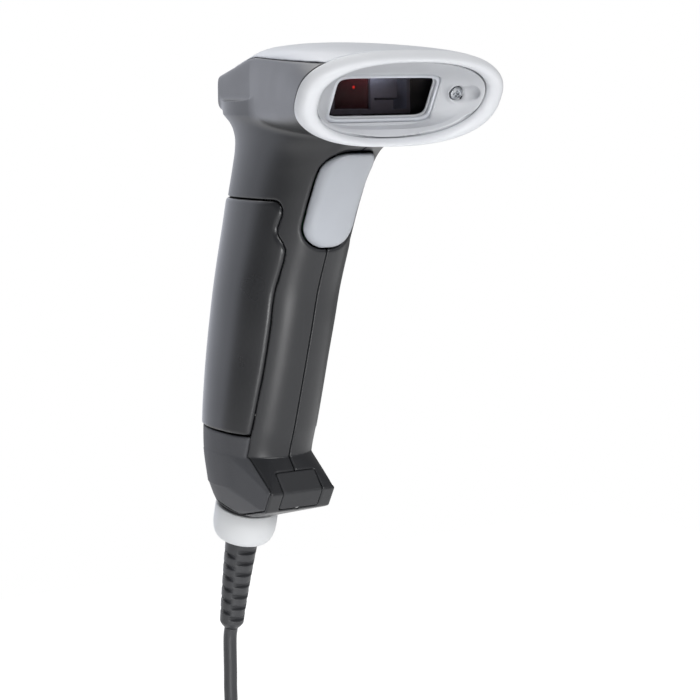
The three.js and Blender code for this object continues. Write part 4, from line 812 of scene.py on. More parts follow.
def lower_cover_outline(grip):
    """Corners in the side view of the lower rear cover."""
    top = REAR_COVER["bottom"] - GAP
    shoulder = LOWER_COVER["shoulder"]
    low = LOWER_COVER["low"]
    ring = neck_point(-GROOVE[0] - low)
    rise = NECK_BACK * LOWER_COVER["rear"]
    return [
        (float(grip.front(top)) + LOWER_COVER["side"], top),
        (float(grip.front(shoulder)) + LOWER_COVER["side"], shoulder),
        (FOOT["front"] + LOWER_COVER["ridge"][0], FOOT["ridge"] + LOWER_COVER["ridge"][1]),
        (FOOT["low_y"] + low, FOOT["low_z"] + low),
        (ring[1] - NECK_RADIUS * NECK_BACK[1], ring[2] - NECK_RADIUS * NECK_BACK[2]),
        (ring[1] + rise[1], ring[2] + rise[2]),
        (ring[1] + rise[1], top + REAR_COVER["rise"]),
    ]


def pad_outline(grow):
    """Corners in the side view of the foot pad."""
    back, out = PAD["back"], PAD["overrun"]
    low_share, toe, ridge = (PAD_CORNER_SHARES[key] for key in ("low", "toe", "ridge"))
    slope = np.array([back[0] - FOOT["front"], back[1] - FOOT["ridge"]])
    slope /= np.hypot(*slope)
    front = np.array([FOOT["low_y"] - FOOT["front"], FOOT["low_z"] - FOOT["ridge"]])
    front /= np.hypot(*front)
    thick = PAD["thickness"] + grow
    low = np.array([FOOT["low_y"], FOOT["low_z"]]) - front * PAD["inset"]
    return [
        (back[0] - slope[1] * out + slope[0] * grow, back[1] + slope[0] * out + slope[1] * grow),
        (FOOT["front"] - out, FOOT["ridge"] + out / 2),
        (low[0] - out + front[0] * grow, low[1] + front[1] * grow - out * low_share),
        (low[0] + thick * toe[0] + front[0] * grow, low[1] + thick * toe[1] + front[1] * grow),
        (FOOT["front"] + thick * ridge[0], FOOT["ridge"] + thick * ridge[1]),
        (back[0] + slope[1] * thick + slope[0] * grow, back[1] - slope[0] * thick + slope[1] * grow),
    ]


def pad_region(x, y, z, grow):
    return smooth_max(inside_lines(y, z, pad_outline(grow)), np.abs(x) - PAD["half"] - grow, SOFT["pad"])


def housing_distance(shell, lower_outline):
    """Distance to the left half of the housing, as a function of place."""

    def distance(x, y, z):
        outer = shell.outside(x, y, z)
        soft = shell.edge
        _, _, w = nose_frame(x, y, z)
        near_nose = np.where(z > HEAD_LOW, w, -1)
        thin = shell.wall * THIN_WALL["share"]
        wall = np.interp(near_nose, (THIN_WALL["from"], THIN_WALL["to"]), (shell.wall, thin))
        body = np.maximum(outer, -(outer + wall))
        foot = np.maximum(outer, np.minimum(-(outer + shell.wall), z - FOOT_FLOOR["level"]))
        body = np.where(z < FOOT_FLOOR["below"], foot, body)
        body = smooth_max(body, np.minimum(w + shell.gap, z - HEAD_LOW), soft)
        # Neck: groove above the collar and the spigot inside it
        run = y * NECK_DOWN[1] + z * NECK_DOWN[2] - NECK_CENTRE @ NECK_DOWN
        back = (y - NECK[0]) * NECK_BACK[1] + (z - NECK[1]) * NECK_BACK[2]
        round_ = np.hypot(x, back)
        near_neck = smooth_max(body, np.minimum(run + GROOVE[0], GROOVE_REACH - round_), SOFT["groove"])
        root = -run - SPIGOT["root"]
        core = np.maximum(np.maximum(round_ - GROOVE[1], run - SPIGOT["core_end"]), root)
        spigot = np.maximum(np.maximum(round_ - COLLAR["spigot"], run - SPIGOT["end"]), root)
        bore = np.maximum(round_ - RELIEF["top"] - GAP, -run - SPIGOT["bore"])
        body = np.maximum(np.minimum(np.minimum(near_neck, core), spigot), -bore)
        # Places of the top cover, the trigger and the rear covers
        body = smooth_max(body, -(crown_region(y, z) - FINE_GAP), soft)
        opening = np.maximum(trigger_outline(x, z, TRIGGER_GAP), y - POCKET_BACK)
        body = smooth_max(body, -opening, SOFT["pocket"])
        skin_depth = shell.grip_near(x, y, z)
        rear = np.maximum(
            np.maximum(*shell.grip.cover_region(y, z)) - shell.gap,
            -(skin_depth - REAR_COVER["proud"] + REAR_COVER["thickness"] + GAP),
        )
        body = smooth_max(body, -rear, soft)
        lower = np.maximum(
            inside_lines(y, z, lower_outline) - shell.gap, -(outer + REAR_COVER["thickness"] + GAP)
        )
        body = smooth_max(body, -lower, soft)
        body = smooth_max(body, -pad_region(x, y, z, FINE_GAP), soft)
        return smooth_max(body, x + shell.gap / 2, soft)

    return distance


# Materials


def linear(colour):
    """Linear colour of an sRGB hex value."""
    parts = [int(colour[i:i + 2], 16) / 255 for i in (1, 3, 5)]
    return (*[p / 12.92 if p <= 0.04045 else ((p + 0.055) / 1.055) ** 2.4 for p in parts], 1)


def darker(colour, share):
    return (*[part * share for part in colour[:3]], 1)


def add_node(tree, kind, inputs=None, **settings):
    """A node with its settings. Inputs give a value, or the socket that is linked to them."""
    made = tree.nodes.new(kind)
    for key, value in settings.items():
        setattr(made, key, value)
    for key, value in (inputs or {}).items():
        if isinstance(value, bpy.types.NodeSocket):
            tree.links.new(value, made.inputs[key])
        else:
            made.inputs[key].default_value = value
    return made


def new_material(name):
    material = bpy.data.materials.new(name)
    material.use_nodes = True
    material.node_tree.nodes.clear()
    return material, material.node_tree


# Sizes of the patterns: unevenness of moulded surfaces, dust on the pane, clouds in the filter, pitch of a
# board's tracks and of the ribbon's conductors, and the length in which a wave texture of scale 1 repeats
MOTTLE = 0.02
DUST = 0.004
CLOUD = 0.003
TRACK = 0.004
CONDUCTOR = 0.001
WAVE = 0.314

# How far the roughness of plastic and of metal varies, and the darkest shade as a share of the colour on
# moulded surfaces, on the dusty pane and in the clouded filter
PLASTIC_SPREAD = 0.05
METAL_SPREAD = 0.08
MOULDED_SHADE = 0.87
DUSTY_SHADE = 0.8
CLOUDED_SHADE = 0.6

# Refractive indices: of the plastics, and the lower one that keeps the pane's edge reflections faint
PLASTIC_IOR = 1.5
PANE_IOR = 1.4

# Turn of the grain, which would fade where a surface lies along a plane of the noise's lattice
GRAIN_TURN = (0.6, 0.4, 0.8)

# Sockets of the colour form of the Mix node
MIX_FACTOR, MIX_FIRST, MIX_SECOND, MIX_RESULT = 0, 6, 7, 2


def mix_colours(tree, factor, first, second):
    mix = add_node(tree, "ShaderNodeMix", data_type="RGBA")
    for key, value in ((MIX_FACTOR, factor), (MIX_FIRST, first), (MIX_SECOND, second)):
        if isinstance(value, bpy.types.NodeSocket):
            tree.links.new(value, mix.inputs[key])
        else:
            mix.inputs[key].default_value = value
    return mix.outputs[MIX_RESULT]


def moulded(name, colour, roughness, grain, depth, specular=0.5, strength=0.35):
    """Moulded plastic or rubber: a spark-eroded grain and a faint unevenness of its colour and gloss.

    Real grain is about 0.05 mm, too fine to show, so it is drawn some ten times as coarse.
    """
    material, tree = new_material(name)
    place = add_node(tree, "ShaderNodeTexCoord").outputs["Object"]
    turned = add_node(tree, "ShaderNodeMapping", {"Vector": place, "Rotation": GRAIN_TURN}).outputs[0]
    cloud = add_node(tree, "ShaderNodeTexNoise", {"Vector": turned, "Scale": 1 / MOTTLE, "Detail": 3})
    fine = add_node(tree, "ShaderNodeTexNoise", {"Vector": turned, "Scale": 1 / grain, "Detail": 2})
    bump = add_node(
        tree, "ShaderNodeBump", {"Height": fine.outputs[0], "Strength": strength, "Distance": depth}
    )
    gloss = add_node(
        tree, "ShaderNodeMapRange",
        {
            "Value": cloud.outputs[0], "To Min": roughness - PLASTIC_SPREAD,
            "To Max": roughness + PLASTIC_SPREAD,
        },
    )
    surface = add_node(
        tree, "ShaderNodeBsdfPrincipled",
        {
            "Base Color": mix_colours(
                tree, cloud.outputs[0], tuple(colour), darker(colour, MOULDED_SHADE)
            ),
            "Roughness": gloss.outputs[0],
            "Normal": bump.outputs[0],
            "Specular IOR Level": specular,
            "IOR": PLASTIC_IOR,
        },
    )
    add_node(tree, "ShaderNodeOutputMaterial", {"Surface": surface.outputs[0]})
    return material


def metal(name, light, dark, roughness, streak, stretch=(1, 1, 1)):
    """Bare or plated metal, its colour and gloss uneven along the way that it was worked."""
    material, tree = new_material(name)
    place = add_node(tree, "ShaderNodeTexCoord").outputs["Object"]
    drawn = add_node(tree, "ShaderNodeMapping", {"Vector": place, "Scale": stretch})
    marks = add_node(
        tree, "ShaderNodeTexNoise", {"Vector": drawn.outputs[0], "Scale": 1 / streak, "Detail": 4}
    )
    gloss = add_node(
        tree, "ShaderNodeMapRange",
        {
            "Value": marks.outputs[0], "To Min": roughness - METAL_SPREAD,
            "To Max": roughness + METAL_SPREAD,
        },
    )
    surface = add_node(
        tree, "ShaderNodeBsdfPrincipled",
        {
            "Base Color": mix_colours(tree, marks.outputs[0], linear(light), linear(dark)),
            "Metallic": 1.0,
            "Roughness": gloss.outputs[0],
        },
    )
    add_node(tree, "ShaderNodeOutputMaterial", {"Surface": surface.outputs[0]})
    return material


def see_through(name, tint, gloss_colour, roughness, coverage):
    """Clear or tinted sheet: it lets light through in its tint and reflects at its skin."""
    material, tree = new_material(name)
    place = add_node(tree, "ShaderNodeTexCoord").outputs["Object"]
    dust = add_node(tree, "ShaderNodeTexNoise", {"Vector": place, "Scale": 1 / DUST, "Detail": 2})
    gloss = linear(gloss_colour)
    shade = mix_colours(tree, dust.outputs[0], gloss, darker(gloss, DUSTY_SHADE))
    clear = add_node(tree, "ShaderNodeBsdfTransparent", {"Color": linear(tint)})
    body = add_node(
        tree, "ShaderNodeBsdfPrincipled", {"Base Color": shade, "Roughness": roughness, "IOR": PLASTIC_IOR}
    )
    edge = add_node(tree, "ShaderNodeFresnel", {"IOR": PANE_IOR})
    share = add_node(
        tree, "ShaderNodeMath", {0: edge.outputs[0], 1: coverage}, operation="ADD", use_clamp=True
    )
    both = add_node(
        tree, "ShaderNodeMixShader", {0: share.outputs[0], 1: clear.outputs[0], 2: body.outputs[0]}
    )
    add_node(tree, "ShaderNodeOutputMaterial", {"Surface": both.outputs[0]})
    return material


def circuit_board(name):
    """Glass-epoxy board under green solder mask, with paler copper tracks showing through."""
    material, tree = new_material(name)
    place = add_node(tree, "ShaderNodeTexCoord").outputs["Object"]
    tracks = add_node(
        tree, "ShaderNodeTexBrick",
        {"Vector": place, "Scale": 1 / TRACK, "Mortar Size": 0.04, "Brick Width": 0.7, "Row Height": 0.35},
    )
    for key, value in (("Color1", "#1c5a38"), ("Color2", "#1a5233"), ("Mortar", "#3c7d4f")):
        tracks.inputs[key].default_value = linear(value)
    surface = add_node(
        tree, "ShaderNodeBsdfPrincipled", {"Base Color": tracks.outputs[0], "Roughness": 0.35}
    )
    add_node(tree, "ShaderNodeOutputMaterial", {"Surface": surface.outputs[0]})
    return material


def striped_ribbon(name):
    """Flat white ribbon cable, grey conductors showing through its film."""
    material, tree = new_material(name)
    place = add_node(tree, "ShaderNodeTexCoord").outputs["Object"]
    lines = add_node(
        tree, "ShaderNodeTexWave", {"Vector": place, "Scale": WAVE / CONDUCTOR, "Distortion": 0.0},
        wave_type="BANDS", bands_direction="X",
    )
    colour = mix_colours(tree, lines.outputs[0], linear("#dedcd4"), linear("#a9a69c"))
    surface = add_node(tree, "ShaderNodeBsdfPrincipled", {"Base Color": colour, "Roughness": 0.4})
    add_node(tree, "ShaderNodeOutputMaterial", {"Surface": surface.outputs[0]})
    return material


def filter_with_painted_spot(name, tint, spot, reach):
    """Dark red plastic, with the laser's bright spot painted on it as a red glow."""
    material, tree = new_material(name)
    place = add_node(tree, "ShaderNodeTexCoord").outputs["Object"]
    cloud = add_node(tree, "ShaderNodeTexNoise", {"Vector": place, "Scale": 1 / CLOUD, "Detail": 2})
    # Painted glow: the filter shines red round the laser's spot, though no lamp lights it there
    away = add_node(tree, "ShaderNodeVectorMath", {0: place, 1: spot}, operation="DISTANCE")
    painted_glow = add_node(
        tree, "ShaderNodeMapRange",
        {"Value": away.outputs["Value"], "From Max": reach, "To Min": 2.0, "To Max": 0.0},
        interpolation_type="SMOOTHSTEP",
    )
    surface = add_node(
        tree, "ShaderNodeBsdfPrincipled",
        {
            "Base Color": mix_colours(
                tree, cloud.outputs[0], linear(tint), darker(linear(tint), CLOUDED_SHADE)
            ),
            "Roughness": 0.2,
            "Emission Color": linear("#ff3020"),
            "Emission Strength": painted_glow.outputs[0],
        },
    )
    add_node(tree, "ShaderNodeOutputMaterial", {"Surface": surface.outputs[0]})
    return material


def white_ground(name):
    """Pale studio paper: white to the camera and in reflections, and darker where the object shades it."""
    material, tree = new_material(name)
    path = add_node(tree, "ShaderNodeLightPath")
    seen = add_node(
        tree, "ShaderNodeMath", {0: path.outputs["Is Camera Ray"], 1: path.outputs["Is Glossy Ray"]},
        operation="MAXIMUM",
    )
    seen = add_node(
        tree, "ShaderNodeMath", {0: seen.outputs[0], 1: path.outputs["Is Transmission Ray"]},
        operation="MAXIMUM",
    )
    part = add_node(tree, "ShaderNodeMath", {0: seen.outputs[0], 1: FLOOR["share"]}, operation="MULTIPLY")
    paper = add_node(tree, "ShaderNodeBsdfDiffuse", {"Color": linear("#f4f4f4")})
    white = add_node(tree, "ShaderNodeEmission", {"Color": (1, 1, 1, 1), "Strength": FLOOR["strength"]})
    both = add_node(
        tree, "ShaderNodeMixShader", {0: part.outputs[0], 1: paper.outputs[0], 2: white.outputs[0]}
    )
    add_node(tree, "ShaderNodeOutputMaterial", {"Surface": both.outputs[0]})
    return material


# Where the painted glow of the laser's spot lies on the filter
PAINTED_SPOT_PLACE = (-0.0045, -0.0337, 0.0865)

MATERIALS = {}


def finish_named(name):
    """One material for each finish, made when it is first asked for."""
    if name not in MATERIALS:
        MATERIALS[name] = FINISHES[name](name, bpy.context.scene.scanner_finishes)
    return MATERIALS[name]


FINISHES = {
    # Grey ABS with a fine matt grain, satin where light grazes it
    "dark_abs": lambda name, f: moulded(name, f.housing, 0.36, 0.0004, 0.00003),
    # Same plastic in a smoother mould, so its highlights are tighter
    "smooth_abs": lambda name, f: moulded(name, f.grip_cover, 0.29, 0.0005, 0.00002),
    # Coarse eroded grain, duller and lighter than the pieces around it
    "grained_abs": lambda name, f: moulded(name, f.lower_cover, 0.6, 0.0007, 0.0001, strength=0.6),
    # Soft white elastomer, matt with a broad sheen
    "white_elastomer": lambda name, f: moulded(name, f.bumper, 0.45, 0.0005, 0.00002),
    # Light grey ABS, matt so that the window stands out from it
    "grey_abs": lambda name, f: moulded(name, f.recess, 0.5, 0.0004, 0.00002),
    # Pale, cool ABS with a soft sheen along the crown
    "pale_abs": lambda name, f: moulded(name, f.top_cover, 0.42, 0.0004, 0.00002),
    # Polished ABS, the glossiest of the pale pieces where the finger rubs it
    "trigger_abs": lambda name, f: moulded(name, f.trigger, 0.3, 0.0005, 0.00001),
    # White elastomer, a little duller than the ring at the nose
    "collar_elastomer": lambda name, f: moulded(name, f.collar, 0.5, 0.0005, 0.00002),
    # Dark rubber, duller than the plastic round it
    "black_rubber": lambda name, f: moulded(name, f.pad, 0.55, 0.0006, 0.00005),
    # Vinyl jacket with a soft gloss along the cable
    "cable_vinyl": lambda name, f: moulded(name, f.lead, 0.45, 0.0008, 0.00002),
    # Moulded nylon, near black and satin
    "black_nylon": lambda name, f: moulded(name, linear("#1d1e20"), 0.45, 0.0004, 0.00002),
    # Natural nylon, a warm off-white
    "white_nylon": lambda name, f: moulded(name, linear("#e6e4dc"), 0.45, 0.0004, 0.00002),
    # Acetal, a slick red button
    "red_acetal": lambda name, f: moulded(name, linear("#9c2222"), 0.35, 0.0004, 0.00002),
    # Die-cast zinc, bluish grey and dull through the window
    "zinc_cast": lambda name, f: metal(name, "#a5abb3", "#8a9098", 0.45, 0.0015),
    # Drawn steel, bright with streaks along its length
    "drawn_steel": lambda name, f: metal(name, "#c9ccd0", "#a9acb0", 0.28, 0.001, (4, 1, 4)),
    # Nickel plate, brighter and smoother than the steel
    "nickel_plate": lambda name, f: metal(name, "#d3d5d6", "#bfc2c4", 0.22, 0.004),
    # Turned brass, yellow with rings from the lathe
    "turned_brass": lambda name, f: metal(name, "#c9a35a", "#a9843f", 0.3, 0.0008, (1, 6, 1)),
    # Silvered glass, a clean reflection
    "mirror_silver": lambda name, f: metal(name, "#f0f2f4", "#e4e8ec", 0.09, 0.006),
    # Acrylic pane, all but clear, with dark reflections at its skin
    "clear_pane": lambda name, f: see_through(name, "#e6dede", "#020202", 0.03, 0.01),
    # Red filter plastic, almost black but for the laser's spot, painted on as a glow
    "red_filter": lambda name, f: filter_with_painted_spot(name, "#351012", PAINTED_SPOT_PLACE, 0.0006),
    # Solder mask, green with paler tracks
    "green_board": lambda name, f: circuit_board(name),
    # Polyester film, off-white with grey conductors
    "ribbon_film": lambda name, f: striped_ribbon(name),
    # Studio paper, white behind the object
    "studio_paper": lambda name, f: white_ground(name),
}


def settle_piece(made, slot, finish, *nodes, body="scanner"):
    """Give a finished piece its material and its body, and hide the nodes that it stands for; its slot is
    not used.
    """
    made.data.materials.clear()
    made.data.materials.append(finish_named(finish))
    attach(made, body)
    if nodes:
        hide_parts(*nodes)
    return made


def dress_nodes(finishes):
    """Give the nodes of the frame that stay their materials."""
    for node, finish in finishes.items():
        made = bpy.data.objects[node]
        made.data.materials.clear()
        made.data.materials.append(finish_named(finish))


# Curves of the lead


def relief_point(distance):
    """Point and direction of the strain relief's centre line, measured from the neck's end face."""
    straight = COLLAR["height"]
    if distance <= straight:
        return neck_point(distance), NECK_DOWN
    turn = LEAN - RELIEF_END_LEAN
    radius = RELIEF["length"] / turn
    angle = min((distance - straight) / radius, turn)
    down = NECK_DOWN * math.cos(angle) - NECK_BACK * math.sin(angle)
    point = neck_point(straight) + NECK_DOWN * radius * math.sin(angle)
    point = point - NECK_BACK * radius * (1 - math.cos(angle))
    return point + down * (distance - straight - radius * angle), down


RELIEF_LAST = COLLAR["height"] + RELIEF["length"]
HANK_TURNS = HANK["loops"] / HANK["layers"]
HANK_Y = relief_point(RELIEF_LAST + CORD)[0][1]
LOOP_STEPS = 24
LOOP_TAIL = 2


def hank_point(loops):
    """Place on the hank after a number of loops from the top of its outer right run."""
    layer = min(max(math.floor(loops / HANK_TURNS), 0), HANK["layers"] - 1)
    within = loops - layer * HANK_TURNS
    ring = within if layer % 2 else HANK_TURNS - within
    height = layer
    left = HANK_TURNS - within
    if left < HANK_CLIMB_SHARE and layer < HANK["layers"] - 1:
        height += (HANK_CLIMB_SHARE - left) / (2 * HANK_CLIMB_SHARE)
    if within < HANK_CLIMB_SHARE and layer > 0:
        height += (within - HANK_CLIMB_SHARE) / (2 * HANK_CLIMB_SHARE)
    angle = -2 * math.pi * loops
    c, s = math.cos(angle), math.sin(angle)
    z = s * (HANK["half"] + ring * HANK["spacing"])
    away = min(abs(z) / HANK["half"], 1)
    drawn = HANK["waist"] + (HANK["end"] - HANK["waist"]) * away ** 2
    x = math.copysign(abs(c) ** HANK_RUN_SHARE, c) * (drawn + ring * HANK["spacing"])
    y = HANK_Y + (height - (HANK["layers"] - 1) / 2) * HANK["spacing"]
    return np.array([x, y, z - HANK["drop"]])


def lead_route():
    """Places that the lead passes, from the strain relief through the hank to the plug."""
    steps = range(-LOOP_TAIL, HANK["loops"] * LOOP_STEPS + LOOP_TAIL + 1)
    wound = [hank_point(i / LOOP_STEPS) for i in steps]
    top = wound[0] + np.array([0, 0, CORD])
    bend = wound[-1] - np.array([0, 0, CORD])
    bottom = wound[-1] - np.array([0, 0, HANK_TAIL])
    leave, down = relief_point(RELIEF_LAST)
    first = leave + down * GAP
    start = leave + down * (GAP + CORD)
    end = top + np.array([0, 0, GAP])
    free = [first, start]
    for across, drop in LEAD_ROUTE_SHARES:
        place = start + (end - start) * across
        place[2] = start[2] + (end[2] - start[2]) * drop
        free.append(place)
    return free + [end], wound + [bend, bottom]


# Operators


class Maker:
    """What the operators share."""

    bl_options = {"REGISTER", "UNDO"}


class SCANNER_OT_stage(Maker, bpy.types.Operator):
    """Camera of the photograph, lamps, pale floor and white surroundings"""

    bl_idname = "scanner.stage"
    bl_label = "Studio stage"

    def execute(self, context):
        scene = context.scene
        scene.view_settings.view_transform = "Standard"
        self.add_camera(scene)
        self.add_floor()
        self.add_lamps()
        world = bpy.data.worlds.new("studio_air")
        world.use_nodes = True
        tree = world.node_tree
        tree.nodes.clear()
        path = add_node(tree, "ShaderNodeLightPath")
        seen = add_node(
            tree, "ShaderNodeMath",
            {0: path.outputs["Is Camera Ray"], 1: path.outputs["Is Transmission Ray"]}, operation="MAXIMUM",
        )
        level = add_node(
            tree, "ShaderNodeMapRange", {"Value": seen.outputs[0], "To Min": AIR_LEVEL, "To Max": 1.0}
        )
        air = add_node(tree, "ShaderNodeBackground", {"Color": (1, 1, 1, 1), "Strength": level.outputs[0]})
        add_node(tree, "ShaderNodeOutputWorld", {"Surface": air.outputs[0]})
        scene.world = world
        return {"FINISHED"}

    def add_camera(self, scene):
        turn, dip, roll = CAMERA_TURN, CAMERA_DIP, CAMERA_ROLL
        ahead = Vector((math.sin(turn) * math.cos(dip), math.cos(turn) * math.cos(dip), -math.sin(dip)))
        right = Vector((math.cos(turn), -math.sin(turn), 0))
        up = right.cross(ahead)
        rolled_right = right * math.cos(roll) + up * math.sin(roll)
        rolled_up = up * math.cos(roll) - right * math.sin(roll)
        data = bpy.data.cameras.new("photo_camera")
        data.lens = CAMERA_LENS
        data.sensor_width = SENSOR_WIDTH
        data.clip_start = 0.01
        made = place_object("photo_camera", data)
        axes = Matrix((rolled_right, rolled_up, -ahead)).transposed().to_4x4()
        made.matrix_world = Matrix.Translation(CAMERA_PLACE) @ axes
        scene.camera = made

    def add_floor(self):
        reach = FLOOR["reach"]
        ways = ((-1, -1), (1, -1), (1, 1), (-1, 1))
        corners = [(reach * x, reach * y, LOWEST - FLOOR["drop"]) for x, y in ways]
        floor = make_object("studio_floor", corners, [(0, 1, 2, 3)])
        floor.data.materials.append(finish_named("studio_paper"))
        floor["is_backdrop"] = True

    def add_lamps(self):
        for name, place, aim, size, power, colour in LAMPS:
            data = bpy.data.lights.new(name, "AREA")
            data.shape = "RECTANGLE"
            data.size, data.size_y = size
            data.energy = power
            data.color = linear(colour)[:3]
            made = place_object(name, data)
            made.visible_camera = False
            look = (Vector(aim) - Vector(place)).to_track_quat("-Z", "Y")
            made.matrix_world = Matrix.Translation(place) @ look.to_matrix().to_4x4()


class SCANNER_OT_lead(Maker, bpy.types.Operator):
    """Lead from the strain relief into the hank, its strap and its plug"""

    bl_idname = "scanner.lead"
    bl_label = "Lead, hank and plug"

    def execute(self, context):
        free, wound = lead_route()
        line = np.vstack([smooth_line(free, 6)[:-1], smooth_line(wound, 3)])
        lead, spline = curve_object("hanging_lead", line)
        spline.use_smooth = True
        lead.data.bevel_depth = CORD / 2
        lead.data.bevel_resolution = 3
        lead.data.use_fill_caps = True
        settle_piece(lead, "cord_vinyl", "cable_vinyl", "lead", "lead_hank")
        pieces = [self.add_strap(), *self.add_plug(line[-1])]
        return {"FINISHED"}

    def add_strap(self):
        """Rubber strap round the waist of the hank, its edges rounded"""
        across = HANK["waist"] + HANK_TURNS * HANK["spacing"] + CORD / 2 + TIE["slack"]
        deep = (HANK["layers"] - 1) / 2 * HANK["spacing"] + CORD / 2 + TIE["slack"]
        half, thick = TIE["height"] / 2, TIE["thickness"]
        section = softened([(0, -half), (thick, -half), (thick, half), (0, half)], TIE["rounding"])
        a, b = unit_oval(TIE["power"], 96)
        rings = []
        for grow, z in section:
            level = np.full(len(a), z - HANK["drop"])
            rings.append(np.column_stack([a * (across + grow), HANK_Y + b * (deep + grow), level]))
        return settle_piece(loft("hank_strap", rings, loop=True), "pad_rubber", "black_rubber", "hank_tie")

    def add_plug(self, end):
        """Moulded grip, plated shell and white tongue with its contacts"""
        centre = np.array([end[0], end[1], end[2] - GAP])
        rings = []
        for drop, x, y, power in smooth_line(PLUG_SECTIONS, 5):
            a, b = unit_oval(power, 64)
            level = np.full(len(a), centre[2] - drop)
            rings.append(np.column_stack([centre[0] + a * x, centre[1] + b * y, level]))
        grip = settle_piece(loft("plug_moulding", rings), "black_plastic", "black_nylon", "plug_grip")
        mouth = centre[2] - PLUG_SECTIONS[-1][0]

        half, thick, root, out = (PLUG_SHELL[key] for key in ("half", "thick", "root", "out"))

        def shell_distance(x, y, z):
            a, b = np.abs(x - centre[0]), np.abs(y - centre[1])
            outer = smooth_max(a - half, b - thick, PLUG_SHELL["corner"])
            wall = np.maximum(outer, -(outer + PLUG_SHELL["wall"]))
            ends = np.maximum(z - mouth - root, mouth - out - z)
            latch = np.maximum(np.abs(a - PLUG_LATCH["across"]), np.abs(z - mouth + PLUG_LATCH["drop"]))
            return smooth_max(np.maximum(wall, ends), PLUG_LATCH["half"] - latch, SOFT["latch"])

        across, deep, up, down = PLUG_ROOM
        low = (centre[0] - across, centre[1] - deep, mouth - down)
        high = (centre[0] + across, centre[1] + deep, mouth + up)
        shell = carve("plug_sleeve", shell_distance, FINEST, (low, high))
        settle_piece(shell, "steel", "nickel_plate", "plug_shell")
        dress_nodes({"plug_tongue": "white_nylon"})
        return [grip, shell, bpy.data.objects["plug_tongue"]]


# Most of a side that a rounded corner takes up
CORNER_SHARE = 0.45


def softened(corners, radius, steps=4):
    """Closed outline with each corner turned into a short curve."""
    corners = np.array(corners, dtype=float)
    line = []
    for before, corner, after in zip(np.roll(corners, 1, axis=0), corners, np.roll(corners, -1, axis=0)):
        starts = []
        for other in (before, after):
            length = np.hypot(*(other - corner))
            starts.append(corner + (other - corner) / length * min(radius, CORNER_SHARE * length))
        for t in np.linspace(0, 1, steps + 1):
            line.append(starts[0] * (1 - t) ** 2 + corner * 2 * t * (1 - t) + starts[1] * t * t)
    return np.array(line)


class SCANNER_OT_housing(Maker, bpy.types.Operator):
    """Both halves of the housing and the pale top cover"""

    bl_idname = "scanner.housing"
    bl_label = "Housing and top cover"

    def execute(self, context):
        sizes = context.scene.scanner_body
        shell = Shell(sizes)
        distance = housing_distance(shell, lower_cover_outline(shell.grip))
        step = cell(sizes.fineness)
        left = carve("shell_left", distance, step)
        right = mirrored("shell_right", left)
        settle_piece(left, "housing_grey", "dark_abs", "housing_left")
        settle_piece(right, "housing_grey", "dark_abs", "housing_right")

        def crown(x, y, z):
            outer = shell.head_near(x, y, z)
            body = np.maximum(outer, -(outer + shell.wall))
            _, _, w = nose_frame(x, y, z)
            body = smooth_max(body, w + shell.gap, shell.edge)
            return smooth_max(body, crown_region(y, z), shell.edge)

        top = carve("crown_cover", crown, step)
        settle_piece(top, "pale_plastic", "pale_abs", "top_cover")
        return {"FINISHED"}


class SCANNER_OT_covers(Maker, bpy.types.Operator):
    """Rear grip cover, lower rear cover and foot pad"""

    bl_idname = "scanner.covers"
    bl_label = "Rear covers and foot pad"

    def execute(self, context):
        sizes = context.scene.scanner_body
        shell = Shell(sizes)
        step = cell(sizes.fineness)
        proud, thick = REAR_COVER["proud"], REAR_COVER["thickness"]

        def rear(x, y, z):
            depth = shell.grip_near(x, y, z)
            sheet = np.maximum(depth - proud, proud - thick - depth)
            edge, low = shell.grip.cover_region(y, z)
            return smooth_max(smooth_max(sheet, edge, SOFT["cover"]), low, EDGE)

        cover = carve("grip_cover", rear, step * COVER_CELL_SHARE)
        settle_piece(cover, "grip_grey", "smooth_abs", "rear_grip_cover")
        outline = lower_cover_outline(shell.grip)

        def lower(x, y, z):
            outer = shell.outside(x, y, z)
            sheet = np.maximum(outer, -(outer + thick))
            return smooth_max(sheet, inside_lines(y, z, outline), EDGE)

        base = carve("base_cover", lower, step)
        settle_piece(base, "textured_grey", "grained_abs", "lower_rear_cover")

        def pad(x, y, z):
            return smooth_max(shell.outside(x, y, z), pad_region(x, y, z, 0), EDGE)

        toe = carve("toe_pad", pad, step * PAD_CELL_SHARE)
        settle_piece(toe, "pad_rubber", "black_rubber", "foot_pad")
        return {"FINISHED"}


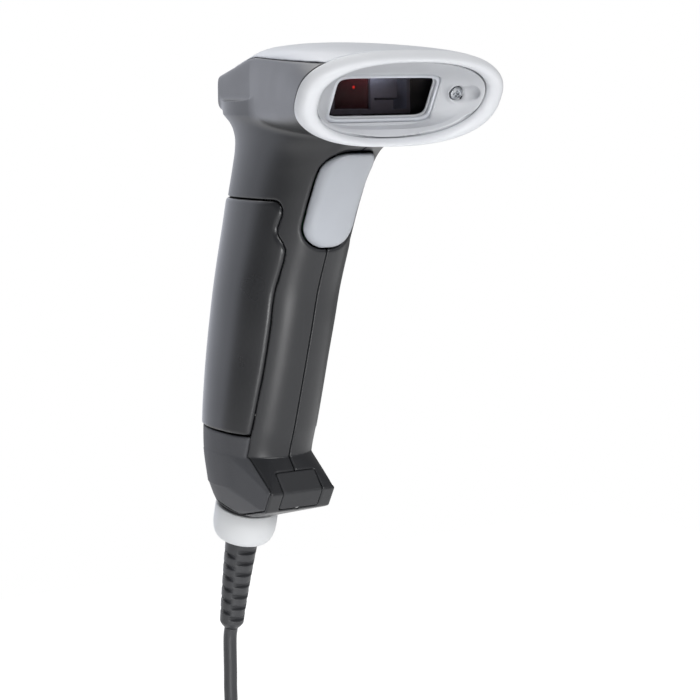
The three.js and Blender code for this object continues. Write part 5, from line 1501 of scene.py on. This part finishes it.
class SCANNER_OT_nose(Maker, bpy.types.Operator):
    """Bumper ring, recess, window frame, pane and screw"""

    bl_idname = "scanner.nose"
    bl_label = "Nose and window"

    def execute(self, context):
        section = rounded(BUMPER_SECTION_SHARES, 3)
        rings = [nose_ring(mixed(BUMPER, MOUTH, share), depth * BUMPER_DEPTH) for share, depth in section]
        ring = loft("bumper", rings, loop=True)
        settle_piece(ring, "bumper_rubber", "white_elastomer", "bumper_ring")
        self.add_recess()
        self.add_frame()
        self.add_screw()
        dress_nodes({"scan_window": "clear_pane"})
        return {"FINISHED"}

    def add_recess(self):
        """Tray with its funnel, the window's seat, and the screw's boss at the end of a slot"""
        seat = FRAME_WIDTH + FINE_GAP
        rim = grown(MOUTH, -RIM_GAP)
        bottom = grown(OPENING, seat + RECESS_WALL)
        bottom["power"] = OPENING["power"] / 2
        floor = OPENING_DEPTH - FRAME_THICKNESS - GAP
        last = OPENING_DEPTH + RECESS_END
        inner = grown(bottom, -RECESS_WALL * INNER_SHARE)
        funnel = tapered((-RIM_DEPTH, rim), (RECESS_STEP_DEPTH, RECESS_STEP), (floor, inner))
        back = {**grown(MOUTH, -2 * RIM_GAP), "down": MOUTH["down"] - RIM_GAP}
        skin_back = tapered((BACK_START, back), (last - RECESS_WALL, bottom))
        rim_field, bottom_field = prism(rim), prism(bottom)
        flange_field = prism(mixed(BUMPER, MOUTH, FLANGE["share"]))
        seat_field, hole_field = prism(grown(OPENING, seat)), prism(grown(OPENING, -GAP))

        def tray(p, hollow):
            """Distance to the tray before its screw's place is cut"""
            x, t, w = p
            below = w + floor - SEAT_RISE
            seat_room = np.maximum(true_distance(seat_field, p), np.maximum(-(w + OPENING_DEPTH), below))
            air = np.minimum(np.maximum(hollow, -(w + floor)), seat_room)
            air = np.minimum(air, np.maximum(true_distance(hole_field, p), below))
            outer = np.maximum(true_distance(rim_field, p), np.maximum(w - RIM_DEPTH, -w - RIM_BACK))
            collar = np.maximum(true_distance(flange_field, p), np.abs(w - FLANGE["place"]) - FLANGE["half"])
            side = np.minimum(true_distance(skin_back, p), hollow - RECESS_SKIN)
            side = np.maximum(side, np.maximum(w - RECESS_FRONT, -w - last))
            base = np.maximum(true_distance(bottom_field, p), np.maximum(w + floor - BASE_RISE, -w - last))
            outer = np.minimum(np.minimum(outer, collar), np.minimum(side, base))
            return smooth_max(outer, -air, SOFT["recess"])

        def distance(x, y, z):
            p = nose_frame(x, y, z)
            _, t, w = p
            hollow = true_distance(funnel, p)
            body = tray(p, hollow)
            a, b, up = x - SCREW_PLACE[0], t - SCREW_PLACE[1], w - SCOOP_FLOOR
            aside = np.hypot(a, b)
            boss = np.maximum(aside - BOSS_RADIUS, np.maximum(-up - BOSS_HEIGHT, up))
            # Slot that runs out to the side from the screw's seat, with a wall behind it
            offset = (a, b, up - SCOOP_RADIUS)
            way = sum(part * run for part, run in zip(offset, SCOOP_RUN))
            way = np.clip(way / sum(run ** 2 for run in SCOOP_RUN), 0, 1)
            channel = np.sqrt(sum((part - way * run) ** 2 for part, run in zip(offset, SCOOP_RUN)))
            channel = channel - SCOOP_RADIUS * (1 - SCOOP_TAPER * way)
            behind = np.maximum(np.minimum(channel - SCOOP_WALL, boss), -hollow)
            behind = np.maximum(np.maximum(behind, true_distance(rim_field, p)), w - RECESS_FRONT)
            body = np.minimum(smooth_min(body, boss, SOFT["boss"]), behind)
            well = np.maximum(aside - SCOOP_RADIUS, -up)
            body = smooth_max(body, -smooth_min(well, channel, EDGE), SOFT["scoop"])
            seat_hole = np.maximum(aside - SCREW_HEAD[0] - GAP, -up - SCREW_HEAD[1] - GAP)
            return np.maximum(body, -np.minimum(seat_hole, aside - SCREW_SHANK - GAP))

        recess = carve("mouth_recess", distance, cell(*RECESS_CELLS))
        settle_piece(recess, "recess_grey", "grey_abs", "nose_recess")

    def add_frame(self):
        top = -(OPENING_DEPTH - FRAME_THICKNESS)
        bottom = -OPENING_DEPTH + GAP
        bevel = [(FRAME_WIDTH, top - GAP), (FRAME_WIDTH * FRAME_FLAT_SHARE, top)]
        section = softened([(FRAME_WIDTH, bottom), *bevel, (0, top), (0, bottom)], FRAME_EDGE)
        rings = [nose_ring(grown(OPENING, grow), w, 256) for grow, w in section]
        settle_piece(loft("window_bezel", rings, loop=True), "pale_plastic", "pale_abs", "window_frame")

    def add_screw(self):
        radius, height = SCREW_HEAD
        arm, reach = SCREW_CROSS["half"], SCREW_CROSS["reach"]

        def distance(x, y, z):
            x, t, w = nose_frame(x, y, z)
            a, b, up = np.abs(x - SCREW_PLACE[0]), np.abs(t - SCREW_PLACE[1]), w - SCOOP_FLOOR
            aside = np.hypot(a, b)
            dome = np.sqrt(aside ** 2 + (up - SCREW_PROUD + SCREW_DOME) ** 2) - SCREW_DOME
            head = smooth_max(np.maximum(dome, aside - radius), -up - height, SOFT["screw"])
            shank = np.maximum(aside - SCREW_SHANK, np.maximum(up + height, -w - SCREW_END))
            cross = np.minimum(np.maximum(a - arm, b - reach), np.maximum(b - arm, a - reach))
            cross = np.maximum(cross, -up - height * SCREW_CROSS["depth_share"])
            return smooth_max(np.minimum(head, shank), -cross, SOFT["cross"])

        centre = nose_point(SCREW_PLACE[0], SCREW_PLACE[1], SCOOP_FLOOR)
        room = (centre - SCREW_ROOM[0], centre + SCREW_ROOM[1])
        screw = carve("cross_screw", distance, FINEST, room)
        settle_piece(screw, "steel", "drawn_steel", "nose_screw")


class SCANNER_OT_trigger(Maker, bpy.types.Operator):
    """Trigger with its boss and post"""

    bl_idname = "scanner.trigger"
    bl_label = "Trigger"

    def execute(self, context):
        shell = Shell(context.scene.scanner_body)
        half = TRIGGER_THICKNESS / 2
        radius, across = PIVOT_BOSS["radius"], PIVOT_BOSS["half"]

        def distance(x, y, z):
            depth = shell.grip_near(x, y, z)
            sheet = np.abs(depth - TRIGGER_PROUD + half) - half
            sheet = np.maximum(sheet, y - TRIGGER_BACK)
            plate = smooth_max(sheet, trigger_outline(x, z, 0), SOFT["trigger"])
            skin_y = shell.grip.front(PIVOT[1]) + TRIGGER_THICKNESS - TRIGGER_PROUD
            round_ = np.hypot(y - PIVOT[0], z - PIVOT[1])
            boss = np.maximum(round_ - radius, np.abs(x) - across)
            web_low = (-across, skin_y - TRIGGER_ROOT, PIVOT[1] - radius)
            web = box_distance((x, y, z), web_low, (across, PIVOT[0], PIVOT[1] + radius))
            slot_low = (-SPRING_SLOT["half"], skin_y + GAP, PIVOT[1] - SPRING_SLOT["height"])
            slot_high = (SPRING_SLOT["half"], SPRING_SLOT["end"], PIVOT[1] + SPRING_SLOT["height"])
            boss = np.maximum(np.minimum(boss, web), -box_distance((x, y, z), slot_low, slot_high))
            body = smooth_min(plate, boss, SOFT["root"])
            body = np.maximum(body, -(round_ - PIVOT_BOSS["bore"]))
            post_y = shell.grip.front(POST["height"]) + TRIGGER_THICKNESS - TRIGGER_PROUD
            post = np.hypot(x, z - POST["height"]) - POST["radius"]
            post = np.maximum(post, np.maximum(post_y - TRIGGER_ROOT - y, y - POST["end"]))
            return np.minimum(body, post)

        made = carve("trigger_key", distance, cell(*TRIGGER_CELLS))
        settle_piece(made, "trigger_grey", "trigger_abs", "trigger", body="trigger")
        dress_nodes({
            "trigger_pin": "drawn_steel", "trigger_spring": "drawn_steel", "micro_switch": "black_nylon",
            "switch_plunger": "red_acetal", "trigger_board": "green_board",
        })
        return {"FINISHED"}


def bent_flex_tree():
    """Node tree that turns a centre line into a slotted strain relief."""
    tree = bpy.data.node_groups.new("slotted_relief", "GeometryNodeTree")
    face = tree.interface
    face.new_socket("Geometry", in_out="INPUT", socket_type="NodeSocketGeometry")
    for name, value in (
        ("First Slot", RELIEF_SLOTS["first"]), ("Slot Pitch", RELIEF_SLOTS["pitch"]),
        ("Slot Count", RELIEF_SLOTS["count"]), ("Slot Width", RELIEF_SLOTS["width"]),
        ("Slot Depth", RELIEF_SLOTS["depth"]), ("Edge", RELIEF_SLOTS["edge"]),
    ):
        socket = face.new_socket(name, in_out="INPUT", socket_type="NodeSocketFloat")
        socket.default_value = value
    face.new_socket("Material", in_out="INPUT", socket_type="NodeSocketMaterial")
    face.new_socket("Geometry", in_out="OUTPUT", socket_type="NodeSocketGeometry")

    given = add_node(tree, "NodeGroupInput").outputs
    along = add_node(tree, "GeometryNodeSplineParameter").outputs["Length"]
    radius = add_node(tree, "GeometryNodeInputRadius").outputs[0]
    tangent = add_node(tree, "GeometryNodeInputTangent").outputs[0]
    place = add_node(tree, "GeometryNodeInputPosition").outputs[0]
    kept = add_node(tree, "GeometryNodeCaptureAttribute", {"Geometry": given["Geometry"]})
    for kind, name, source in (
        ("FLOAT", "along", along), ("FLOAT", "radius", radius),
        ("VECTOR", "way", tangent), ("VECTOR", "centre", place),
    ):
        kept.capture_items.new(kind, name)
        tree.links.new(source, kept.inputs[name])
    circle = add_node(tree, "GeometryNodeCurvePrimitiveCircle", {"Resolution": 96, "Radius": 1.0})
    tube = add_node(
        tree, "GeometryNodeCurveToMesh",
        {
            "Curve": kept.outputs["Geometry"], "Profile Curve": circle.outputs[0], "Scale": radius,
            "Fill Caps": True,
        },
    )

    def math_(operation, *values):
        return add_node(tree, "ShaderNodeMath", dict(enumerate(values)), operation=operation).outputs[0]

    def vector(operation, *values):
        return add_node(tree, "ShaderNodeVectorMath", dict(enumerate(values)), operation=operation)

    local = vector("SUBTRACT", place, kept.outputs["centre"]).outputs[0]
    back = vector("CROSS_PRODUCT", kept.outputs["way"], (1, 0, 0)).outputs[0]
    back = vector("NORMALIZE", back).outputs[0]
    # Slots come in turn on the front and rear and on the two sides
    run = math_("SUBTRACT", kept.outputs["along"], given["First Slot"])
    rank = math_("ROUND", math_("DIVIDE", run, given["Slot Pitch"]))
    rank = math_("MAXIMUM", math_("MINIMUM", rank, math_("SUBTRACT", given["Slot Count"], 1.0)), 0.0)
    away = math_("ABSOLUTE", math_("SUBTRACT", run, math_("MULTIPLY", rank, given["Slot Pitch"])))
    half = math_("MULTIPLY", given["Slot Width"], 0.5)
    cut = add_node(
        tree, "ShaderNodeMapRange",
        {
            "Value": away, "From Min": math_("SUBTRACT", half, given["Edge"]),
            "From Max": math_("ADD", half, given["Edge"]), "To Min": 1.0, "To Max": 0.0,
        },
        interpolation_type="SMOOTHSTEP",
    ).outputs[0]
    side = math_("MODULO", rank, 2.0)
    to_back = vector("DOT_PRODUCT", local, back).outputs["Value"]
    to_side = vector("DOT_PRODUCT", local, (1, 0, 0)).outputs["Value"]
    limit = math_("SUBTRACT", kept.outputs["radius"], given["Slot Depth"])

    def pull(reach, direction, share):
        over = math_("MAXIMUM", math_("SUBTRACT", math_("ABSOLUTE", reach), limit), 0.0)
        signed = math_("MULTIPLY", over, math_("SIGN", reach))
        signed = math_("MULTIPLY", signed, math_("MULTIPLY", cut, share))
        scaled = vector("SCALE", direction)
        tree.links.new(math_("MULTIPLY", signed, -1.0), scaled.inputs["Scale"])
        return scaled.outputs[0]

    offset = vector(
        "ADD", pull(to_back, back, math_("SUBTRACT", 1.0, side)), pull(to_side, (1, 0, 0), side)
    ).outputs[0]
    moved = add_node(tree, "GeometryNodeSetPosition", {"Geometry": tube.outputs[0], "Offset": offset})
    real = add_node(tree, "GeometryNodeRealizeInstances", {"Geometry": moved.outputs[0]})
    done = add_node(
        tree, "GeometryNodeSetMaterial", {"Geometry": real.outputs[0], "Material": given["Material"]}
    )
    add_node(tree, "NodeGroupOutput", {"Geometry": done.outputs[0]})
    return tree


def run_tree(name, start, tree, values):
    """Plain object that a node tree makes from a start object, its inputs set by their identifiers."""
    modifier = start.modifiers.new("maker", "NODES")
    modifier.node_group = tree
    for item in tree.interface.items_tree:
        if item.in_out == "INPUT" and item.name in values:
            modifier[item.identifier] = values[item.name]
    graph = bpy.context.evaluated_depsgraph_get()
    mesh = bpy.data.meshes.new_from_object(start.evaluated_get(graph))
    mesh.name = name
    mesh.shade_smooth()
    start.modifiers.clear()
    bpy.data.objects.remove(start)
    return place_object(name, mesh)


class SCANNER_OT_strain_relief(Maker, bpy.types.Operator):
    """White collar and the slotted strain relief that leaves it"""

    bl_idname = "scanner.strain_relief"
    bl_label = "Collar and strain relief"

    def execute(self, context):
        self.add_collar()
        first = RELIEF_ROOT["start"]
        step, edge = first + RELIEF_ROOT["thickness"], RELIEF_ROOT["edge"]
        line = np.linspace(step + 5 * edge, RELIEF_LAST, RELIEF_SAMPLES)
        distances = np.concatenate([[first, step - edge, step + edge / 2], line])
        places = np.array([relief_point(distance)[0] for distance in distances])
        share = np.clip((distances - COLLAR["height"]) / RELIEF["length"], 0, 1)
        radii = RELIEF["top"] + (RELIEF["end"] - RELIEF["top"]) * share
        radii = np.where(distances < step, RELIEF_ROOT["flange"], radii)
        tip = np.clip((distances - RELIEF_LAST + RELIEF["chamfer"]) / RELIEF["chamfer"], 0, 1)
        radii = radii - tip ** RELIEF["chamfer_power"] * (RELIEF["end"] - CORD / 2 - GAP)
        start, spline = curve_object("relief_line", places)
        spline.points.foreach_set("radius", radii)
        run = RELIEF["length"] - RELIEF["chamfer"] - RELIEF_SLOTS["first"]
        made = run_tree("cable_relief", start, bent_flex_tree(), {
            "First Slot": COLLAR["height"] + RELIEF_SLOTS["first"] - first,
            "Slot Pitch": run / RELIEF_SLOTS["count"],
            "Slot Count": float(RELIEF_SLOTS["count"]),
            "Slot Width": RELIEF_SLOTS["width"],
            "Slot Depth": RELIEF_SLOTS["depth"],
            "Material": finish_named("cable_vinyl"),
        })
        settle_piece(made, "cord_vinyl", "cable_vinyl", "strain_relief")
        dress_nodes({"inner_lead": "cable_vinyl"})
        return {"FINISHED"}

    def add_collar(self):
        radius, straight, height = COLLAR["radius"], COLLAR["straight"], COLLAR["height"]
        bore = COLLAR["spigot"] + GAP
        profile = [(bore, GAP), (radius - GAP, GAP), (radius, 2 * GAP), (radius, straight)]
        rise = height - straight
        for share in np.linspace(0, 1, 12)[1:]:
            angle = COLLAR_TURN * share
            inwards = (radius - COLLAR["mouth"] - rise / 4) * (1 - math.cos(angle))
            profile.append((radius - inwards, straight + rise * math.sin(angle) / math.sin(COLLAR_TURN)))
        profile += [(COLLAR["mouth"], height), (COLLAR["mouth"], COLLAR["floor"]), (bore, COLLAR["floor"])]
        angle = np.linspace(0, 2 * math.pi, COLLAR_POINTS, endpoint=False)
        circle = np.outer(np.cos(angle), [1, 0, 0]) - np.outer(np.sin(angle), NECK_BACK)
        rings = [neck_point(distance) + circle * radius for radius, distance in profile]
        made = loft("neck_collar", rings, loop=True)
        settle_piece(made, "collar_rubber", "collar_elastomer", "cable_collar")


class SCANNER_OT_engine(Maker, bpy.types.Operator):
    """Scan engine behind the window, and the boards inside the housing"""

    bl_idname = "scanner.engine"
    bl_label = "Scan engine and boards"

    def execute(self, context):
        dress_nodes({
            "engine_chassis": "zinc_cast", "receive_filter": "red_filter", "photo_detector": "black_nylon",
            "mirror_drive": "zinc_cast", "scan_mirror": "mirror_silver", "mirror_magnet": "nickel_plate",
            "laser_module": "turned_brass", "main_board": "green_board", "buzzer": "black_nylon",
            "interface_board": "green_board", "lead_header": "white_nylon", "ribbon_cable": "ribbon_film",
            "housing_screw_upper": "drawn_steel", "housing_screw_lower": "drawn_steel",
        })
        return {"FINISHED"}


# Sizes, colours and the panel


class ScannerBody(bpy.types.PropertyGroup):
    """Sizes of the moulded body"""

    grip_length: bpy.props.FloatProperty(
        name="Grip length", description="Height that the grip's sections share", default=0.1, unit="LENGTH",
    )
    grip_depth: bpy.props.FloatProperty(
        name="Grip depth", description="Depth that the grip's sections share", default=0.05, unit="LENGTH",
    )
    grip_half_width: bpy.props.FloatProperty(
        name="Grip half width", description="Half width that the grip's sections share", default=0.017,
        unit="LENGTH",
    )
    wall: bpy.props.FloatProperty(
        name="Wall", description="Thickness of the housing's wall", default=WALL, unit="LENGTH",
    )
    seam_gap: bpy.props.FloatProperty(
        name="Seam gap", description="Gap between pieces that meet", default=GAP, unit="LENGTH",
    )
    edge_rounding: bpy.props.FloatProperty(
        name="Edge rounding", description="Width over which moulded edges are rounded", default=EDGE,
        unit="LENGTH",
    )
    fineness: bpy.props.FloatProperty(
        name="Fineness", description="Size of the cells that the skins are made of", default=0.0004,
        unit="LENGTH",
    )


# What every colour setting shares
TINT = {"size": 4, "min": 0, "max": 1, "subtype": "COLOR"}


class ScannerFinishes(bpy.types.PropertyGroup):
    """Colours of the pieces"""

    housing: bpy.props.FloatVectorProperty(
        name="Housing", description="Dark grey of the housing", default=linear("#26272a"), **TINT,
    )
    grip_cover: bpy.props.FloatVectorProperty(
        name="Grip cover", description="Smooth cover behind the grip", default=linear("#242528"), **TINT,
    )
    lower_cover: bpy.props.FloatVectorProperty(
        name="Lower cover", description="Grained cover below it", default=linear("#46474b"), **TINT,
    )
    bumper: bpy.props.FloatVectorProperty(
        name="Bumper", description="Soft ring at the nose", default=linear("#e3e5e9"), **TINT,
    )
    recess: bpy.props.FloatVectorProperty(
        name="Recess", description="Grey inside the mouth", default=linear("#cbcdd1"), **TINT,
    )
    top_cover: bpy.props.FloatVectorProperty(
        name="Top cover", description="Pale crown", default=linear("#dadde3"), **TINT,
    )
    trigger: bpy.props.FloatVectorProperty(
        name="Trigger", description="Pale grey of the trigger", default=linear("#b9bdc4"), **TINT,
    )
    collar: bpy.props.FloatVectorProperty(
        name="Collar", description="White collar at the neck", default=linear("#e9ebed"), **TINT,
    )
    pad: bpy.props.FloatVectorProperty(
        name="Pad", description="Rubber of the foot pad", default=linear("#2b2c2f"), **TINT,
    )
    lead: bpy.props.FloatVectorProperty(
        name="Lead", description="Jacket of the lead", default=linear("#37383b"), **TINT,
    )


class SCANNER_PT_panel(bpy.types.Panel):
    """Sidebar panel with the scanner's operators"""

    bl_idname = "SCANNER_PT_panel"
    bl_label = "Barcode scanner"
    bl_space_type = "VIEW_3D"
    bl_region_type = "UI"
    bl_category = "Scanner"

    def draw(self, context):
        for group in (context.scene.scanner_body, context.scene.scanner_finishes):
            for name in group.__annotations__:
                self.layout.prop(group, name)
        for operator in OPERATORS:
            self.layout.operator(operator.bl_idname)


OPERATORS = [
    SCANNER_OT_stage,
    SCANNER_OT_lead,
    SCANNER_OT_housing,
    SCANNER_OT_covers,
    SCANNER_OT_nose,
    SCANNER_OT_trigger,
    SCANNER_OT_strain_relief,
    SCANNER_OT_engine,
]
CLASSES = [ScannerBody, ScannerFinishes, *OPERATORS, SCANNER_PT_panel]


def register():
    for item in CLASSES:
        bpy.utils.register_class(item)
    bpy.types.Scene.scanner_body = bpy.props.PointerProperty(type=ScannerBody)
    bpy.types.Scene.scanner_finishes = bpy.props.PointerProperty(type=ScannerFinishes)


def unregister():
    del bpy.types.Scene.scanner_finishes
    del bpy.types.Scene.scanner_body
    for item in reversed(CLASSES):
        bpy.utils.unregister_class(item)


def main():
    register()
    bpy.ops.scanner.stage()
    bpy.ops.scanner.lead()
    bpy.ops.scanner.housing()
    bpy.ops.scanner.covers()
    bpy.ops.scanner.nose()
    bpy.ops.scanner.trigger()
    bpy.ops.scanner.strain_relief()
    bpy.ops.scanner.engine()
    boxes = {"cad": CAD_BOX, "visual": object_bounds()}
    {key: [[float(v) for v in corner] for corner in box] for key, box in boxes.items()}


if __name__ == "__main__":
    main()
